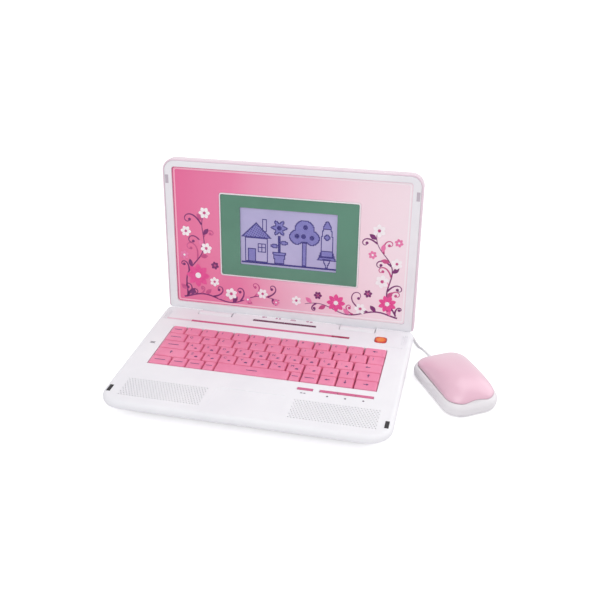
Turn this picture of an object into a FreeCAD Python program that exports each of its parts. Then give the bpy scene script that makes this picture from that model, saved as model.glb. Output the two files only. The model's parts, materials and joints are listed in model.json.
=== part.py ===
import FreeCAD, Part
import math
import os

# Toy laptop computer with a corded mouse.
# Millimetres, Z up, table at Z zero, keys facing up, front edge toward minus Y.

V = FreeCAD.Vector

# base case
half_width = 146.5
front_y = -96.5
rear_y = 98.5
deck_z = 26.0
parting_z = 21.0
shoulder_z = 18.5
under_z = 1.5
wall = 2.2
front_corner = 23.0
rear_corner = 6.0
deck_edge_round = 4.9
foot_inset = 21.0
foot_inset_rear = 3.0
foot_corner = 8.0
foot_wall = 3.5
deck_under = deck_z - wall
floor_z = under_z + wall

# hinge
hinge_y = 90.0
hinge_z = 19.3
knuckle_radius = 8.0
notch_radius = 8.4
knuckle_x = (64.0, 103.2)
notch_x = (63.0, 104.2)
ear_x = (58.0, 109.2)
pin_radius = 2.0
lid_opening_deg = 96.83

# lid, measured up from the hinge axis and back from its front plane
lid_offset = 7.4
lid_half_width = 145.2
lid_bottom = 5.6
lid_top = 184.0
lid_corner = 14.0
lid_low_corner = 4.0
lid_rim = 2.0
lid_rim_front = 0.4
bezel_depth = 8.0
lid_depth = 16.0
panel_face = 2.2
panel_back = 3.7
panel_half = 134.2
panel_low = 14.1
panel_high = 175.1
panel_corner = 3.2
rim_half = 80.05
rim_low = 51.3
rim_high = 149.0
display_half = 57.0
display_t = (65.5, 136.0)
lid_pad_at = (140.2, 160.9)
lid_pad_half = (1.8, 4.75)
lid_pad_depth = 1.4

# keys, widths in units of the common key
key_left = -121.5
key_rear = 52.8
key_pitch = 18.43
row_pitch = 15.4
key_top = 27.2
key_skirt = 22.6
key_stem = 21.6
mat_z = 18.5
mat_top = 19.3
key_rows = (
    (0.93,) + (1.0,) * 11 + (1.32,),
    (1.26,) + (1.0,) * 11 + (0.99,),
    (1.60,) + (1.0,) * 10 + (1.65,),
    (1.925,) + (1.0,) * 10 + (1.325,),
    (1.25, 1.0, 1.0, 0.7, 4.33, 0.66, 1.0, 1.0, 1.0, 1.31),
)
single_keys = {
    (0, 12): "backspace_key",
    (2, 11): "enter_key",
    (3, 0): "left_shift_key",
    (3, 10): "arrow_up_key",
    (3, 11): "right_shift_key",
    (4, 4): "space_bar",
    (4, 7): "arrow_left_key",
    (4, 8): "arrow_down_key",
    (4, 9): "arrow_right_key",
}

# thin buttons on the deck
option_y = -35.2
option_depth = 3.4
option_first = (44.5, 60.4)
option_three = (67.4, 121.5)
function_y = 84.8
function_depth = 3.2
function_span = (-37.0, 36.8)
power_at = (112.4, 72.3)
power_size = (12.8, 12.0)
power_corner = 3.5
power_play = 0.5
button_play = 0.35
button_flange_top = deck_under - 0.05
button_board_top = 20.5

# sound grilles: small square holes in staggered rows on both sides of the palm rest
grille_hole = 1.3
grille_step = (3.0, 2.75)
grille_columns = 29
grille_rows = 11
grille_left = (46.5, -127.5)
grille_front = -82.0
grille_margin = 1.5

# grooves beside the rear corners of the deck
groove_x = 135.7
groove_step = 2.1
groove_y = (67.0, 86.0)
groove_half = 0.5
groove_floor = deck_z - 0.8

# battery compartment for three small cells
cell_radius = 5.2
cell_length = 44.5
cell_pitch = 10.9
bay_half = 25.2
bay_y = (-66.5, -33.5)
bay_top = 15.0
door_half = 27.7
door_y = (-69.0, -31.0)

# mouse, in its own frame with the nose along plus X
mouse_at = V(196.8, 32.5, 0)
mouse_heading_deg = 121.9
mouse_floor = 0.8
mouse_height = 31.0
mouse_seam = 15.2
mouse_wall = 2.0
mouse_half = (47.6, 30.2)
mouse_corner = (19.8, 16.2)
mouse_shoulder = 3.6
mouse_power = (3.2, 1.7, 3.0)
mouse_crown_u = -25.0
mouse_tip = 58.6

# cord
cord_radius = 1.5
gland_x = 52.0
gland_z = 6.5
gland_tip_y = 108.0
coil_centre = (70.2, 134.0)
coil_radii = (18.2, 17.3, 16.4, 15.5, 14.6, 14.6, 15.5, 16.4, 17.3, 18.2)
coil_low = 2.4
coil_high = 5.9
coil_lead = 3.0

os.makedirs("parts", exist_ok=True)


def box(x0, x1, y0, y1, z0, z1):
    return Part.makeBox(x1 - x0, y1 - y0, z1 - z0, V(x0, y0, z0))


def rod(x, y, z0, z1, r):
    return Part.makeCylinder(r, z1 - z0, V(x, y, z0))


def rod_x(x0, x1, y, z, r):
    return Part.makeCylinder(r, x1 - x0, V(x0, y, z), V(1, 0, 0))


def outline(x0, x1, y0, y1, z, front, rear):
    # closed loop of four sides and four quarter arcs, with its own radius at the front and rear corners
    def bend(cx, cy, r, start):
        a = [math.radians(start + step) for step in (0, 45, 90)]
        return Part.Arc(*[V(cx + r * math.cos(t), cy + r * math.sin(t), z) for t in a]).toShape()

    def side(p, q):
        return Part.makeLine(V(p[0], p[1], z), V(q[0], q[1], z))

    edges = [
        side((x0 + front, y0), (x1 - front, y0)),
        bend(x1 - front, y0 + front, front, 270),
        side((x1, y0 + front), (x1, y1 - rear)),
        bend(x1 - rear, y1 - rear, rear, 0),
        side((x1 - rear, y1), (x0 + rear, y1)),
        bend(x0 + rear, y1 - rear, rear, 90),
        side((x0, y1 - rear), (x0, y0 + front)),
        bend(x0 + front, y0 + front, front, 180),
    ]
    return Part.Wire(edges)


def slab(x0, x1, y0, y1, z0, z1, front, rear):
    return Part.Face(outline(x0, x1, y0, y1, z0, front, rear)).extrude(V(0, 0, z1 - z0))


def join(shapes):
    return shapes[0].fuse(shapes[1:]).removeSplitter()


def prism_y(points, y0, y1):
    # outline given in X and Z, drawn out along Y
    loop = Part.makePolygon([V(x, y0, z) for x, z in points + points[:1]])
    return Part.Face(loop).extrude(V(0, y1 - y0, 0))


def level_loop(shape, z):
    return [e for e in shape.Edges if all(abs(v.Z - z) < 1e-4 for v in e.Vertexes)]


def save(name, shapes):
    solids = [s for shape in shapes for s in shape.Solids]
    good = all(s.isValid() and s.isClosed() for s in solids)
    volume = sum(s.Volume for s in solids)
    print(name, "solids", len(solids), "valid", good, "volume", round(volume, 1))
    whole = solids[0] if len(solids) == 1 else Part.makeCompound(solids)
    whole.exportStep("parts/" + name + ".step")


def mirrored(shape):
    return shape.mirror(V(0, 0, 0), V(1, 0, 0))


def both(shape):
    return [shape, mirrored(shape)]


def base_loop(inset, z):
    x = half_width - inset
    return outline(-x, x, front_y + inset, rear_y - inset, z, front_corner - inset, rear_corner - inset)


def base_slab(inset, z0, z1):
    return Part.Face(base_loop(inset, z0)).extrude(V(0, 0, z1 - z0))


upper_outer = base_slab(0.0, parting_z, deck_z)
upper_outer = upper_outer.makeFillet(deck_edge_round, level_loop(upper_outer, deck_z))
upper_inner = base_slab(wall, parting_z - 1, deck_under)
upper_inner = upper_inner.makeFillet(2.5, level_loop(upper_inner, deck_under))


# walls that lean in from the shoulder to a smaller floor, with the turn at the shoulder and foot rounded
tray_turns = ((20.0, 0.0), (shoulder_z, 0.5), (17.0, 2.05), (15.4, 3.85), (2.6, 19.8), (under_z, 22.0))


def tray(top, turns, side, rear):
    # sections from rim to floor, each set in by its share of the full inset, plus the wall's own thickness
    sections = [base_loop(side[0], top)]
    for z, inset in turns:
        share = inset / foot_inset
        sides = inset + side[0] + (side[1] - side[0]) * min(share * 4, 1.0)
        back = rear + foot_inset_rear * share
        x = half_width - sides
        front = front_corner + (foot_corner - front_corner) * share - side[0]
        sections.append(outline(-x, x, front_y + sides, rear_y - back, z, front, rear_corner - rear))
    return Part.makeLoft(sections, True, True)


lower_outer = tray(parting_z, tray_turns, (0.0, 0.0), 0.0)
lean = (shoulder_z - floor_z) / (shoulder_z - under_z)
hollow_turns = ((shoulder_z, 0.5), (floor_z, foot_inset * lean))
lower_inner = tray(parting_z + 1, hollow_turns, (wall, foot_wall), wall)

# hinge ears beside each notch, and the notch that clears the lid's knuckle and arm
ear = box(ear_x[0], ear_x[1], 79.6, rear_y, 7.0, deck_z)
notch = join([
    rod_x(notch_x[0], notch_x[1], hinge_y, hinge_z, notch_radius),
    box(notch_x[0], notch_x[1], hinge_y, rear_y + 4, 9.0, 30.0),
])
ear_pair = both(ear)
notch_pair = both(notch)
pin_bore = rod_x(ear_x[0] + 0.5, ear_x[1] + 1.0, hinge_y, hinge_z, pin_radius + 0.02)
pin = rod_x(ear_x[0] + 0.5, ear_x[1] - 0.5, hinge_y, hinge_z, pin_radius)

# key cells from the row table
key_cells = {}
for row, widths in enumerate(key_rows):
    left = key_left
    rear = key_rear - row * row_pitch
    for column, width in enumerate(widths):
        right = left + width * key_pitch
        key_cells[(row, column)] = (left, right, rear - row_pitch, rear)
        left = right
key_right = max(cell[1] for cell in key_cells.values())
key_front = key_rear - row_pitch * len(key_rows)
opening = (key_left - 0.15, key_right + 0.15, key_front - 0.15, key_rear + 0.15)


def grown(rect, by):
    return (rect[0] - by, rect[1] + by, rect[2] - by, rect[3] + by)


screw_posts = [(sx * x, y) for sx in (-1, 1) for x, y in ((105.0, -46.0), (115.0, 61.0), (40.0, 61.0))]
post_split = 12.0


def split_span(span, count):
    step = (span[1] - span[0]) / count
    return [(span[0] + step * i + 0.2, span[0] + step * (i + 1) - 0.2) for i in range(count)]


option_spans = [option_first] + split_span(option_three, 3)
function_spans = split_span(function_span, 4)
option_band = (option_y - option_depth / 2, option_y + option_depth / 2)
function_band = (function_y - function_depth / 2, function_y + function_depth / 2)
power_x = (power_at[0] - power_size[0] / 2, power_at[0] + power_size[0] / 2)
power_y = (power_at[1] - power_size[1] / 2, power_at[1] + power_size[1] / 2)
button_boards = (
    (40.0, 126.0, -41.0, -30.0),
    (-40.0, 40.0, 78.5, 91.0),
    (102.8, 122.6, 65.6, 76.5),
)
board_posts = (
    (42.0, -31.8), (64.0, -39.5), (124.0, -39.5),
    (-38.5, 80.2), (38.5, 80.2), (0.0, 80.2),
    (104.2, 67.2), (121.2, 75.0),
)

# inlay groove and lamp window behind the keys
inlay_y = (67.1, 70.5)
inlay_x = (-106.0, 58.0)
lamp_x = (58.0, 78.0)
inlay_floor = 24.9
inlay_top = 26.2
lamp_pipe = (66.0, 70.0, 68.0, 69.6)

speaker_at = (88.0, -66.0)
speaker_radius = 17.0
pad_at = (140.0, -74.2)
pad_half = (2.0, 5.25)

# upper case
upper_adds = [part.common(upper_outer) for part in ear_pair]
rim_outer = grown(opening, 1.2)
upper_adds.append(box(*rim_outer, mat_top, deck_under + 0.5))
for x, y in screw_posts:
    upper_adds.append(rod(x, y, post_split, deck_under + 0.5, 3.5))
for x, y in board_posts:
    upper_adds.append(rod(x, y, button_board_top, deck_under + 0.5, 1.3))
upper_adds.append(rod(speaker_at[0], speaker_at[1], 20.5, deck_under + 0.5, speaker_radius + 1.5))

cuts = [box(*opening, 10.0, 40.0)]
cuts += notch_pair
cuts += both(pin_bore)
for x, y in screw_posts:
    cuts.append(rod(x, y, post_split - 1, 20.0, 1.3))
cuts.append(rod(speaker_at[0], speaker_at[1], 15.0, deck_under, speaker_radius + 0.1))
play = button_play
cuts.append(box(option_first[0] - play, option_first[1] + play, option_band[0] - play, option_band[1] + play, 22, 30))
cuts.append(box(option_three[0] - play, option_three[1] + play, option_band[0] - play, option_band[1] + play, 22, 30))
cuts.append(box(function_span[0] - play, function_span[1] + play, function_band[0] - play, function_band[1] + play,
                22, 30))
cuts.append(slab(power_x[0] - power_play, power_x[1] + power_play, power_y[0] - power_play, power_y[1] + power_play,
                 22, 30, power_corner + power_play, power_corner + power_play))
cuts.append(box(inlay_x[0] - 0.1, lamp_x[1] + 0.1, inlay_y[0] - 0.1, inlay_y[1] + 0.1, inlay_floor, 30))
cuts.append(box(*grown(lamp_pipe, 0.1), 20.0, 30.0))
cuts.append(box(-136.0, inlay_x[0] - 2.0, 68.3, 69.3, deck_z - 0.4, 30))
cuts.append(box(118.0, 138.0, 59.3, 60.3, deck_z - 0.4, 30))
cuts.append(slab(-34.5, 37.5, -84.0, -50.0, deck_z - 0.4, 30, 3.0, 3.0))
cuts.append(box(-134.1, -129.1, 14.7, 16.1, 20.0, 30.0))
for i in range(3):
    x = groove_x + groove_step * i
    cuts += both(box(x - groove_half, x + groove_half, groove_y[0], groove_y[1], groove_floor, 30.0))
for sx in (-1, 1):
    cuts.append(box(sx * pad_at[0] - pad_half[0] - 0.05, sx * pad_at[0] + pad_half[0] + 0.05,
                    pad_at[1] - pad_half[1] - 0.05, pad_at[1] + pad_half[1] + 0.05, 24.8, 30))

# each grille is one perforated plate set into its opening in the deck
def square_loop(x, y, z, half):
    corners = [V(x - half, y - half, z), V(x + half, y - half, z), V(x + half, y + half, z), V(x - half, y + half, z)]
    return Part.makePolygon(corners + corners[:1])


plates = []
for x0 in grille_left:
    x1 = x0 + grille_step[0] * (grille_columns - 1)
    y1 = grille_front + grille_step[1] * (grille_rows - 1)
    rect = grown((x0, x1, grille_front, y1), grille_margin)
    edge = [V(rect[i], rect[j], deck_under) for i, j in ((0, 2), (1, 2), (1, 3), (0, 3), (0, 2))]
    loops = [Part.makePolygon(edge)]
    for row in range(grille_rows):
        for column in range(grille_columns - row % 2):
            x = x0 + grille_step[0] * (column + 0.5 * (row % 2))
            loops.append(square_loop(x, grille_front + grille_step[1] * row, deck_under, grille_hole / 2))
    plates.append(Part.makeFace(loops, "Part::FaceMakerBullseye").extrude(V(0, 0, wall)))
    cuts.append(box(*rect, deck_under, 30.0))

base_upper = upper_outer.cut(upper_inner).fuse(upper_adds)
base_upper = base_upper.cut(cuts).fuse(plates).removeSplitter()
save("base_upper_case", [base_upper])

# lower case
lip_low = base_slab(2.0, 19.0, parting_z).cut(base_slab(3.8, 18.0, 30.0))
lip_high = base_slab(2.6, parting_z, 22.2).cut(base_slab(3.8, 18.0, 30.0))
lip_trim = box(-200, 200, 74.0, 200, 0, 40)
lower_adds = [part.common(lower_outer) for part in ear_pair]
lower_adds += [lip_low.cut(lip_trim), lip_high.cut(lip_trim)]
lower_adds.append(box(-bay_half - 1.5, bay_half + 1.5, bay_y[0] - 1.5, bay_y[1] + 1.5, 3.0, bay_top + 1.5))
lower_adds.append(box(-31.0, 31.0, -71.8, -28.2, 3.0, 5.5))
lower_adds.append(rod(0.0, -27.0, 3.0, 11.0, 3.6))
rib_xs = (-116.0, -36.0, 30.0, 96.0)
for x in rib_xs:
    lower_adds.append(box(x - 0.8, x + 0.8, -20.0, 50.0, 3.0, mat_z - 1.6))
for x, y in screw_posts:
    lower_adds.append(rod(x, y, 3.0, post_split, 4.0))
board_standoffs = [(x, y) for x in (-106.0, -50.0) for y in (-1.0, 66.0)]
for x, y in board_standoffs:
    lower_adds.append(rod(x, y, 3.0, 8.0, 2.6))

feet_at = [(sx * 112.0, y) for sx in (-1, 1) for y in (-60.0, 80.0)]
lower_cuts = list(notch_pair)
lower_cuts += both(pin_bore)
lower_cuts.append(box(-bay_half, bay_half, bay_y[0], bay_y[1], 0.0, bay_top))
lower_cuts.append(box(-door_half - 0.3, door_half + 0.3, door_y[0] - 0.3, door_y[1] + 0.3, 0.0, floor_z))
lower_cuts.append(box(-6.3, 6.3, -35.0, -22.7, 0.0, floor_z))
for sx in (-1, 1):
    lower_cuts.append(box(sx * 13.0 - 3.3, sx * 13.0 + 3.3, -71.6, -66.0, 2.3, floor_z))
lower_cuts.append(rod(0.0, -27.0, 0.0, 10.0, 1.25))
for x, y in screw_posts:
    lower_cuts.append(rod(x, y, 0.0, 5.0, 3.0))
    lower_cuts.append(rod(x, y, 0.0, 20.0, 1.5))
for x, y in feet_at:
    lower_cuts.append(rod(x, y, 0.0, 2.0, 6.05))
lower_cuts.append(Part.makeCylinder(2.55, 14.0, V(gland_x, rear_y - 9.5, gland_z), V(0, 1, 0)))

base_lower = lower_outer.cut(lower_inner).fuse(lower_adds)
base_lower = base_lower.cut(lower_cuts).removeSplitter()
save("base_lower_case", [base_lower])

save("rubber_feet", [rod(x, y, 0.0, 2.0, 6.0) for x, y in feet_at])
save("hinge_pins", both(pin))

case_screw_shapes = []
for x, y in screw_posts:
    shank = rod(x, y, 4.0, 18.0, 1.2)
    case_screw_shapes.append(join([rod(x, y, 3.2, 5.0, 2.7), shank]))
save("case_screws", case_screw_shapes)

# battery door with its tongues, screw tab and screw
door_parts = [box(-door_half, door_half, door_y[0], door_y[1], under_z, floor_z - 0.1)]
door_parts.append(box(-6.0, 6.0, door_y[1] - 1.0, -23.0, under_z, floor_z - 0.1))
for sx in (-1, 1):
    door_parts.append(box(sx * 13.0 - 3.0, sx * 13.0 + 3.0, -71.2, door_y[0] + 1.0, 2.4, floor_z - 0.1))
door = join(door_parts).cut([rod(0.0, -27.0, 0.0, 2.7, 2.6), rod(0.0, -27.0, 0.0, 5.0, 1.35)])
for i in range(4):
    door = door.cut(box(-9.0, 9.0, -63.0 + 3.0 * i, -61.6 + 3.0 * i, 0.0, under_z + 0.4))
save("battery_door", [door])
save("battery_door_screw", [join([rod(0.0, -27.0, 1.6, 2.7, 2.4), rod(0.0, -27.0, 2.0, 9.0, 1.15)])])

# cells lie along X, turned about in the middle
cell_z = floor_z - 0.1 + cell_radius + 0.05
cells = []
contacts = []
for i in range(3):
    y = (bay_y[0] + bay_y[1]) / 2 + cell_pitch * (i - 1)
    cell = join([
        rod_x(-cell_length / 2, cell_length / 2 - 0.8, y, cell_z, cell_radius),
        rod_x(0.0, cell_length / 2, y, cell_z, 1.9),
    ])
    if i == 1:
        cell.rotate(V(0, y, cell_z), V(0, 0, 1), 180)
    cells.append(cell)
    # bent leaf, touching the bay wall and bowed toward the cell
    leaf = [(25.2, 4.0), (25.2, 13.6), (24.8, 13.6), (24.8, 12.2), (22.3, 9.1), (22.3, 8.5), (24.8, 5.4), (24.8, 4.0)]
    gap = [(24.8, 6.1), (24.8, 11.5), (22.8, 8.8)]
    contacts += both(prism_y(leaf, y - 3.5, y + 3.5).cut(prism_y(gap, y - 4, y + 4)))
save("batteries", cells)
save("battery_contacts", contacts)

main_board = [box(-110.0, -46.0, -5.0, 70.0, 8.0, 9.6)]
main_board.append(box(-92.0, -76.0, 20.0, 36.0, 9.5, 11.4))
main_board.append(box(-70.0, -58.0, 44.0, 50.0, 9.5, 13.0))
main_board.append(rod(-64.0, 12.0, 9.5, 15.0, 3.0))
save("main_board", [join(main_board)])

key_board = grown(opening, 2.6)
save("key_board", [box(*key_board, mat_z - 1.6, mat_z)])

# six-sided rubber domes on one sheet, one under each key
domes = [box(*grown(opening, 2.2), mat_z, mat_top)]
for x0, x1, y0, y1 in key_cells.values():
    rings = []
    for r, z in ((4.0, mat_top - 0.2), (2.6, key_stem)):
        turn = [math.radians(60 * k) for k in range(7)]
        rings.append(Part.makePolygon([V((x0 + x1) / 2 + r * math.cos(a), (y0 + y1) / 2 + r * math.sin(a), z)
                                       for a in turn]))
    domes.append(Part.makeLoft(rings, True, True))
save("dome_mat", [domes[0].fuse(domes[1:])])

save("button_boards", [box(*rect, button_board_top - 1.6, button_board_top) for rect in button_boards])

# loudspeaker as one turned profile: rim, basket, magnet, with the dished cone in front
profile = [(0, 13.0), (9.0, 13.0), (9.0, 17.0), (12.0, 17.6), (15.5, 21.6), (17.0, 21.6), (17.0, 23.8),
           (15.2, 23.8), (8.0, 19.6), (5.0, 20.6), (0, 21.4)]
speaker_loop = Part.makePolygon([V(speaker_at[0] + r, speaker_at[1], z) for r, z in profile + profile[:1]])
speaker_axis = V(speaker_at[0], speaker_at[1], 0)
save("loudspeaker", [Part.Face(speaker_loop).revolve(speaker_axis, V(0, 0, 1), 360)])

pads = []
for sx in (-1, 1):
    pad = box(sx * pad_at[0] - pad_half[0], sx * pad_at[0] + pad_half[0], pad_at[1] - pad_half[1],
              pad_at[1] + pad_half[1], 24.8, deck_z + 0.5)
    pads.append(pad.makeFillet(0.5, level_loop(pad, deck_z + 0.5)))
save("deck_pads", pads)

save("accent_strip", [box(inlay_x[0], inlay_x[1], inlay_y[0], inlay_y[1], inlay_floor, inlay_top)])
lamp = [box(lamp_x[0] + 0.1, lamp_x[1], inlay_y[0], inlay_y[1], inlay_floor, inlay_top)]
lamp.append(box(*lamp_pipe, 21.6, inlay_floor + 0.5))
save("pilot_window", [join(lamp)])


# keycaps: tapered skirt, bevelled top, hollow below, with a stem on the dome
def frustum(levels):
    # flat-sided solid through rectangles, each given as x0, x1, y0, y1 and its height
    rings = [[V(a, c, z), V(b, c, z), V(b, d, z), V(a, d, z)] for (a, b, c, d), z in levels]
    loops = [rings[0], rings[-1]]
    for low, high in zip(rings, rings[1:]):
        for k in range(4):
            n = (k + 1) % 4
            loops.append([low[k], low[n], high[n], high[k]])
    faces = [Part.Face(Part.makePolygon(loop + loop[:1])) for loop in loops]
    solid = Part.Solid(Part.makeShell(faces))
    solid.fixTolerance(1e-6)
    if solid.Volume < 0:
        solid.reverse()
    return solid


def keycap(cell):
    skirt = grown(cell, -0.45)
    shoulder = grown(cell, -0.8)
    top = grown(cell, -1.35)
    outer = frustum([(skirt, key_skirt), (shoulder, key_top - 1.0), (top, key_top)])
    inner = frustum([(grown(skirt, -1.2), key_skirt - 1.0), (grown(shoulder, -1.2), key_top - 1.5)])
    x = (cell[0] + cell[1]) / 2
    y = (cell[2] + cell[3]) / 2
    stem = box(x - 1.6, x + 1.6, y - 1.6, y + 1.6, key_stem, key_top - 1.0)
    return outer.cut(inner).fuse(stem)


row_caps = {}
for place, cell in key_cells.items():
    if place in single_keys:
        save(single_keys[place], [keycap(cell)])
    else:
        row_caps.setdefault(place[0], []).append(keycap(cell))
for row, caps in row_caps.items():
    save("key_row_" + str(row + 1), caps)


# deck buttons: cap through the deck, flange under it, stem toward the switch
def thin_button(x0, x1, band, top, flange_x):
    cap = box(x0, x1, band[0], band[1], key_skirt, top)
    cap = cap.makeChamfer(0.3, level_loop(cap, top))
    flange = box(x0 - flange_x, x1 + flange_x, band[0] - 0.9, band[1] + 0.9, key_skirt, button_flange_top)
    x = (x0 + x1) / 2
    y = (band[0] + band[1]) / 2
    stem = box(x - 1.2, x + 1.2, y - 1.0, y + 1.0, button_board_top + 0.9, key_skirt + 0.5)
    return join([cap, flange, stem])


for i, span in enumerate(option_spans):
    save("option_button_" + str(i + 1), [thin_button(span[0], span[1], option_band, deck_z + 0.6, 0.0)])
for i, span in enumerate(function_spans):
    save("function_button_" + str(i + 1), [thin_button(span[0], span[1], function_band, deck_z + 0.3, 0.0)])

power_top = deck_z + 0.6
power_cap = slab(*power_x, *power_y, key_skirt, power_top, power_corner, power_corner)
power_cap = power_cap.makeFillet(0.9, level_loop(power_cap, power_top))
power_flange = slab(power_x[0] - 0.9, power_x[1] + 0.9, power_y[0] - 0.9, power_y[1] + 0.9, key_skirt,
                    button_flange_top, power_corner + 0.9, power_corner + 0.9)
power_stem = rod(power_at[0], power_at[1], button_board_top + 0.9, key_skirt + 0.5, 2.0)
save("power_button", [join([power_cap, power_flange, power_stem])])

# lid: drawn flat in its own frame, hinge axis on X, front plane below the axis by lid_offset
lid_lean = 180.0 - lid_opening_deg


def stand(shape):
    copy = shape.copy()
    copy.rotate(V(0, 0, 0), V(1, 0, 0), lid_lean)
    copy.translate(V(0, hinge_y, hinge_z))
    return copy


def lid_slab(x, t0, t1, w0, w1, low, high):
    return slab(-x, x, t0, t1, -lid_offset - w1, -lid_offset - w0, low, high)


def lid_box(x0, x1, t0, t1, w0, w1):
    return box(x0, x1, t0, t1, -lid_offset - w1, -lid_offset - w0)


def lid_rod(x, t, w0, w1, r):
    return rod(x, t, -lid_offset - w1, -lid_offset - w0, r)


def lid_inset(by, w0, w1):
    low = lid_low_corner - by
    return lid_slab(lid_half_width - by, lid_bottom + by, lid_top - by, w0, w1, max(low, 2.0), lid_corner - by)


# the bezel sits inside the rim that the rear cover makes round it, which is open along the bottom
def bezel_slab(by, w0, w1):
    x = lid_half_width - lid_rim - by
    low = max(lid_low_corner - lid_rim - by, 2.0)
    return lid_slab(x, lid_bottom + by, lid_top - lid_rim - by, w0, w1, low, lid_corner - lid_rim - by)


def panel_slab(by, w0, w1):
    return lid_slab(panel_half + by, panel_low - by, panel_high + by, w0, w1, panel_corner, panel_corner)


lid_screw_t = (panel_low + 8.0, panel_high - 8.8)
lid_screw_at = [(sx * 127.0, t) for sx in (-1, 1) for t in lid_screw_t]

bezel = bezel_slab(0.1, 0.0, bezel_depth)
bezel = bezel.makeFillet(1.0, level_loop(bezel, -lid_offset))
channel = bezel_slab(0.1 + wall, wall, bezel_depth + 1)
channel = channel.cut(lid_slab(panel_half + 2.2, 0.0, panel_high + 2.2, 0.0, 20.0, 4.0, 4.0))
bezel = bezel.cut([
    panel_slab(0.15, -5.0, panel_back),
    panel_slab(-3.1, -5.0, 20.0),
    panel_slab(0.6, 5.5, 20.0),
    channel,
])
gussets = []
for x, t in lid_screw_at:
    sx = 1 if x > 0 else -1
    st = 1 if t > 90 else -1
    corner = (sx * (panel_half - 0.2), (panel_high - 0.8 if st > 0 else panel_low + 0.8))
    gussets.append(lid_box(min(corner[0], x - sx * 5), max(corner[0], x - sx * 5),
                           min(corner[1], t - st * 5), max(corner[1], t - st * 5), panel_back, 6.2))
arms = []
for shape in (
    rod_x(knuckle_x[0], knuckle_x[1], 0.0, 0.0, knuckle_radius),
    box(knuckle_x[0], knuckle_x[1], -4.0, 0.0, -15.0, -3.0),
    box(knuckle_x[0], knuckle_x[1], -4.0, 12.0, -15.0, -lid_offset),
):
    arms += both(shape)
bezel = bezel.fuse(gussets + arms)
bezel_cuts = []
for x, t in lid_screw_at:
    bezel_cuts.append(lid_rod(x, t, panel_back - 1, 5.0, 2.8))
    bezel_cuts.append(lid_rod(x, t, panel_back - 1, 8.0, 1.5))
for sx in (-1, 1):
    x = sx * lid_pad_at[0]
    bezel_cuts.append(lid_box(x - lid_pad_half[0] - 0.05, x + lid_pad_half[0] + 0.05,
                              lid_pad_at[1] - lid_pad_half[1] - 0.05, lid_pad_at[1] + lid_pad_half[1] + 0.05,
                              -3.0, lid_pad_depth))
    bezel_cuts += [rod_x(min(sx * 60, sx * 110), max(sx * 60, sx * 110), 0.0, 0.0, pin_radius + 0.06)]
bezel = bezel.cut(bezel_cuts).removeSplitter()
save("lid_front_bezel", [stand(bezel)])

cover = lid_inset(0.0, lid_rim_front, lid_depth)
cover = cover.makeFillet(6.0, level_loop(cover, -lid_offset - lid_depth))
cover = cover.makeFillet(1.2, level_loop(cover, -lid_offset - lid_rim_front))
cover_hollow = lid_inset(lid_rim + 1.4, bezel_depth - 1, lid_depth - wall)
cover_hollow = cover_hollow.makeFillet(2.4, level_loop(cover_hollow, -lid_offset - lid_depth + wall))
bezel_seat = lid_slab(lid_half_width - lid_rim, 0.0, lid_top - lid_rim, -5.0, bezel_depth, 2.0, lid_corner - lid_rim)
cover = cover.cut([cover_hollow, bezel_seat])
cover_adds = []
for x, t in lid_screw_at:
    cover_adds.append(lid_rod(x, t, 6.2, lid_depth - 1, 4.0))
for sx in (-1, 1):
    for t in (rim_low - 1.7, rim_high + 1.7):
        cover_adds.append(lid_rod(sx * 82.0, t, 5.0, lid_depth - 1, 2.2))
for t in (display_t[0] + 10.0, display_t[1] - 10.0):
    cover_adds.append(lid_box(-58.0, 58.0, t - 0.8, t + 0.8, 9.5, lid_depth - 1))
for x in (-100.0, 100.0):
    cover_adds.append(lid_box(x - 0.8, x + 0.8, panel_low + 14.0, panel_high - 12.0, panel_back, lid_depth - 1))
cover = cover.fuse(cover_adds)
cover = cover.cut([lid_rod(x, t, 5.0, 13.2, 1.3) for x, t in lid_screw_at]).removeSplitter()
save("lid_rear_cover", [stand(cover)])

panel = panel_slab(0.0, panel_face, panel_back)
panel = panel.cut(lid_slab(rim_half + 0.2, rim_low - 0.2, rim_high + 0.2, 0.0, 10.0, 3.2, 3.2))
save("screen_panel", [stand(panel)])

screen_rim = lid_slab(rim_half, rim_low, rim_high, 1.6, 5.0, 3.0, 3.0)
screen_rim = screen_rim.makeFillet(0.6, level_loop(screen_rim, -lid_offset - 1.6))
screen_rim = screen_rim.fuse(lid_slab(rim_half + 4, rim_low - 4, rim_high + 4, panel_back, 5.0, 3.0, 3.0))
screen_rim = screen_rim.cut([
    lid_slab(rim_half - 1.4, rim_low + 1.4, rim_high - 1.4, 0.0, 4.0, 1.8, 1.8),
    lid_slab(display_half, display_t[0], display_t[1], 0.0, 10.0, 1.5, 1.5),
]).removeSplitter()
save("screen_frame", [stand(screen_rim)])
save("screen_window", [stand(lid_slab(rim_half - 1.6, rim_low + 1.6, rim_high - 1.6, 2.6, 4.0, 1.6, 1.6))])
lcd = [lid_slab(display_half - 0.3, display_t[0] + 0.3, display_t[1] - 0.3, 4.2, 5.5, 1.2, 1.2)]
lcd.append(lid_box(-62.0, 62.0, display_t[0] - 5.5, display_t[1] + 5.5, 5.0, 8.0))
lcd.append(lid_box(-56.0, 56.0, display_t[0] - 1.5, display_t[1] + 1.0, 7.0, 9.5))
save("lcd_module", [stand(join(lcd))])
lid_screw_shapes = []
for x, t in lid_screw_at:
    lid_screw_shapes.append(stand(join([lid_rod(x, t, 3.8, 5.0, 2.6), lid_rod(x, t, 4.5, 12.8, 1.2)])))
save("lid_screws", lid_screw_shapes)
lid_pads = []
for sx in (-1, 1):
    x = sx * lid_pad_at[0]
    lid_pads.append(stand(lid_box(x - lid_pad_half[0], x + lid_pad_half[0], lid_pad_at[1] - lid_pad_half[1],
                                  lid_pad_at[1] + lid_pad_half[1], 0.0, lid_pad_depth)))
save("lid_pads", lid_pads)


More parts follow.
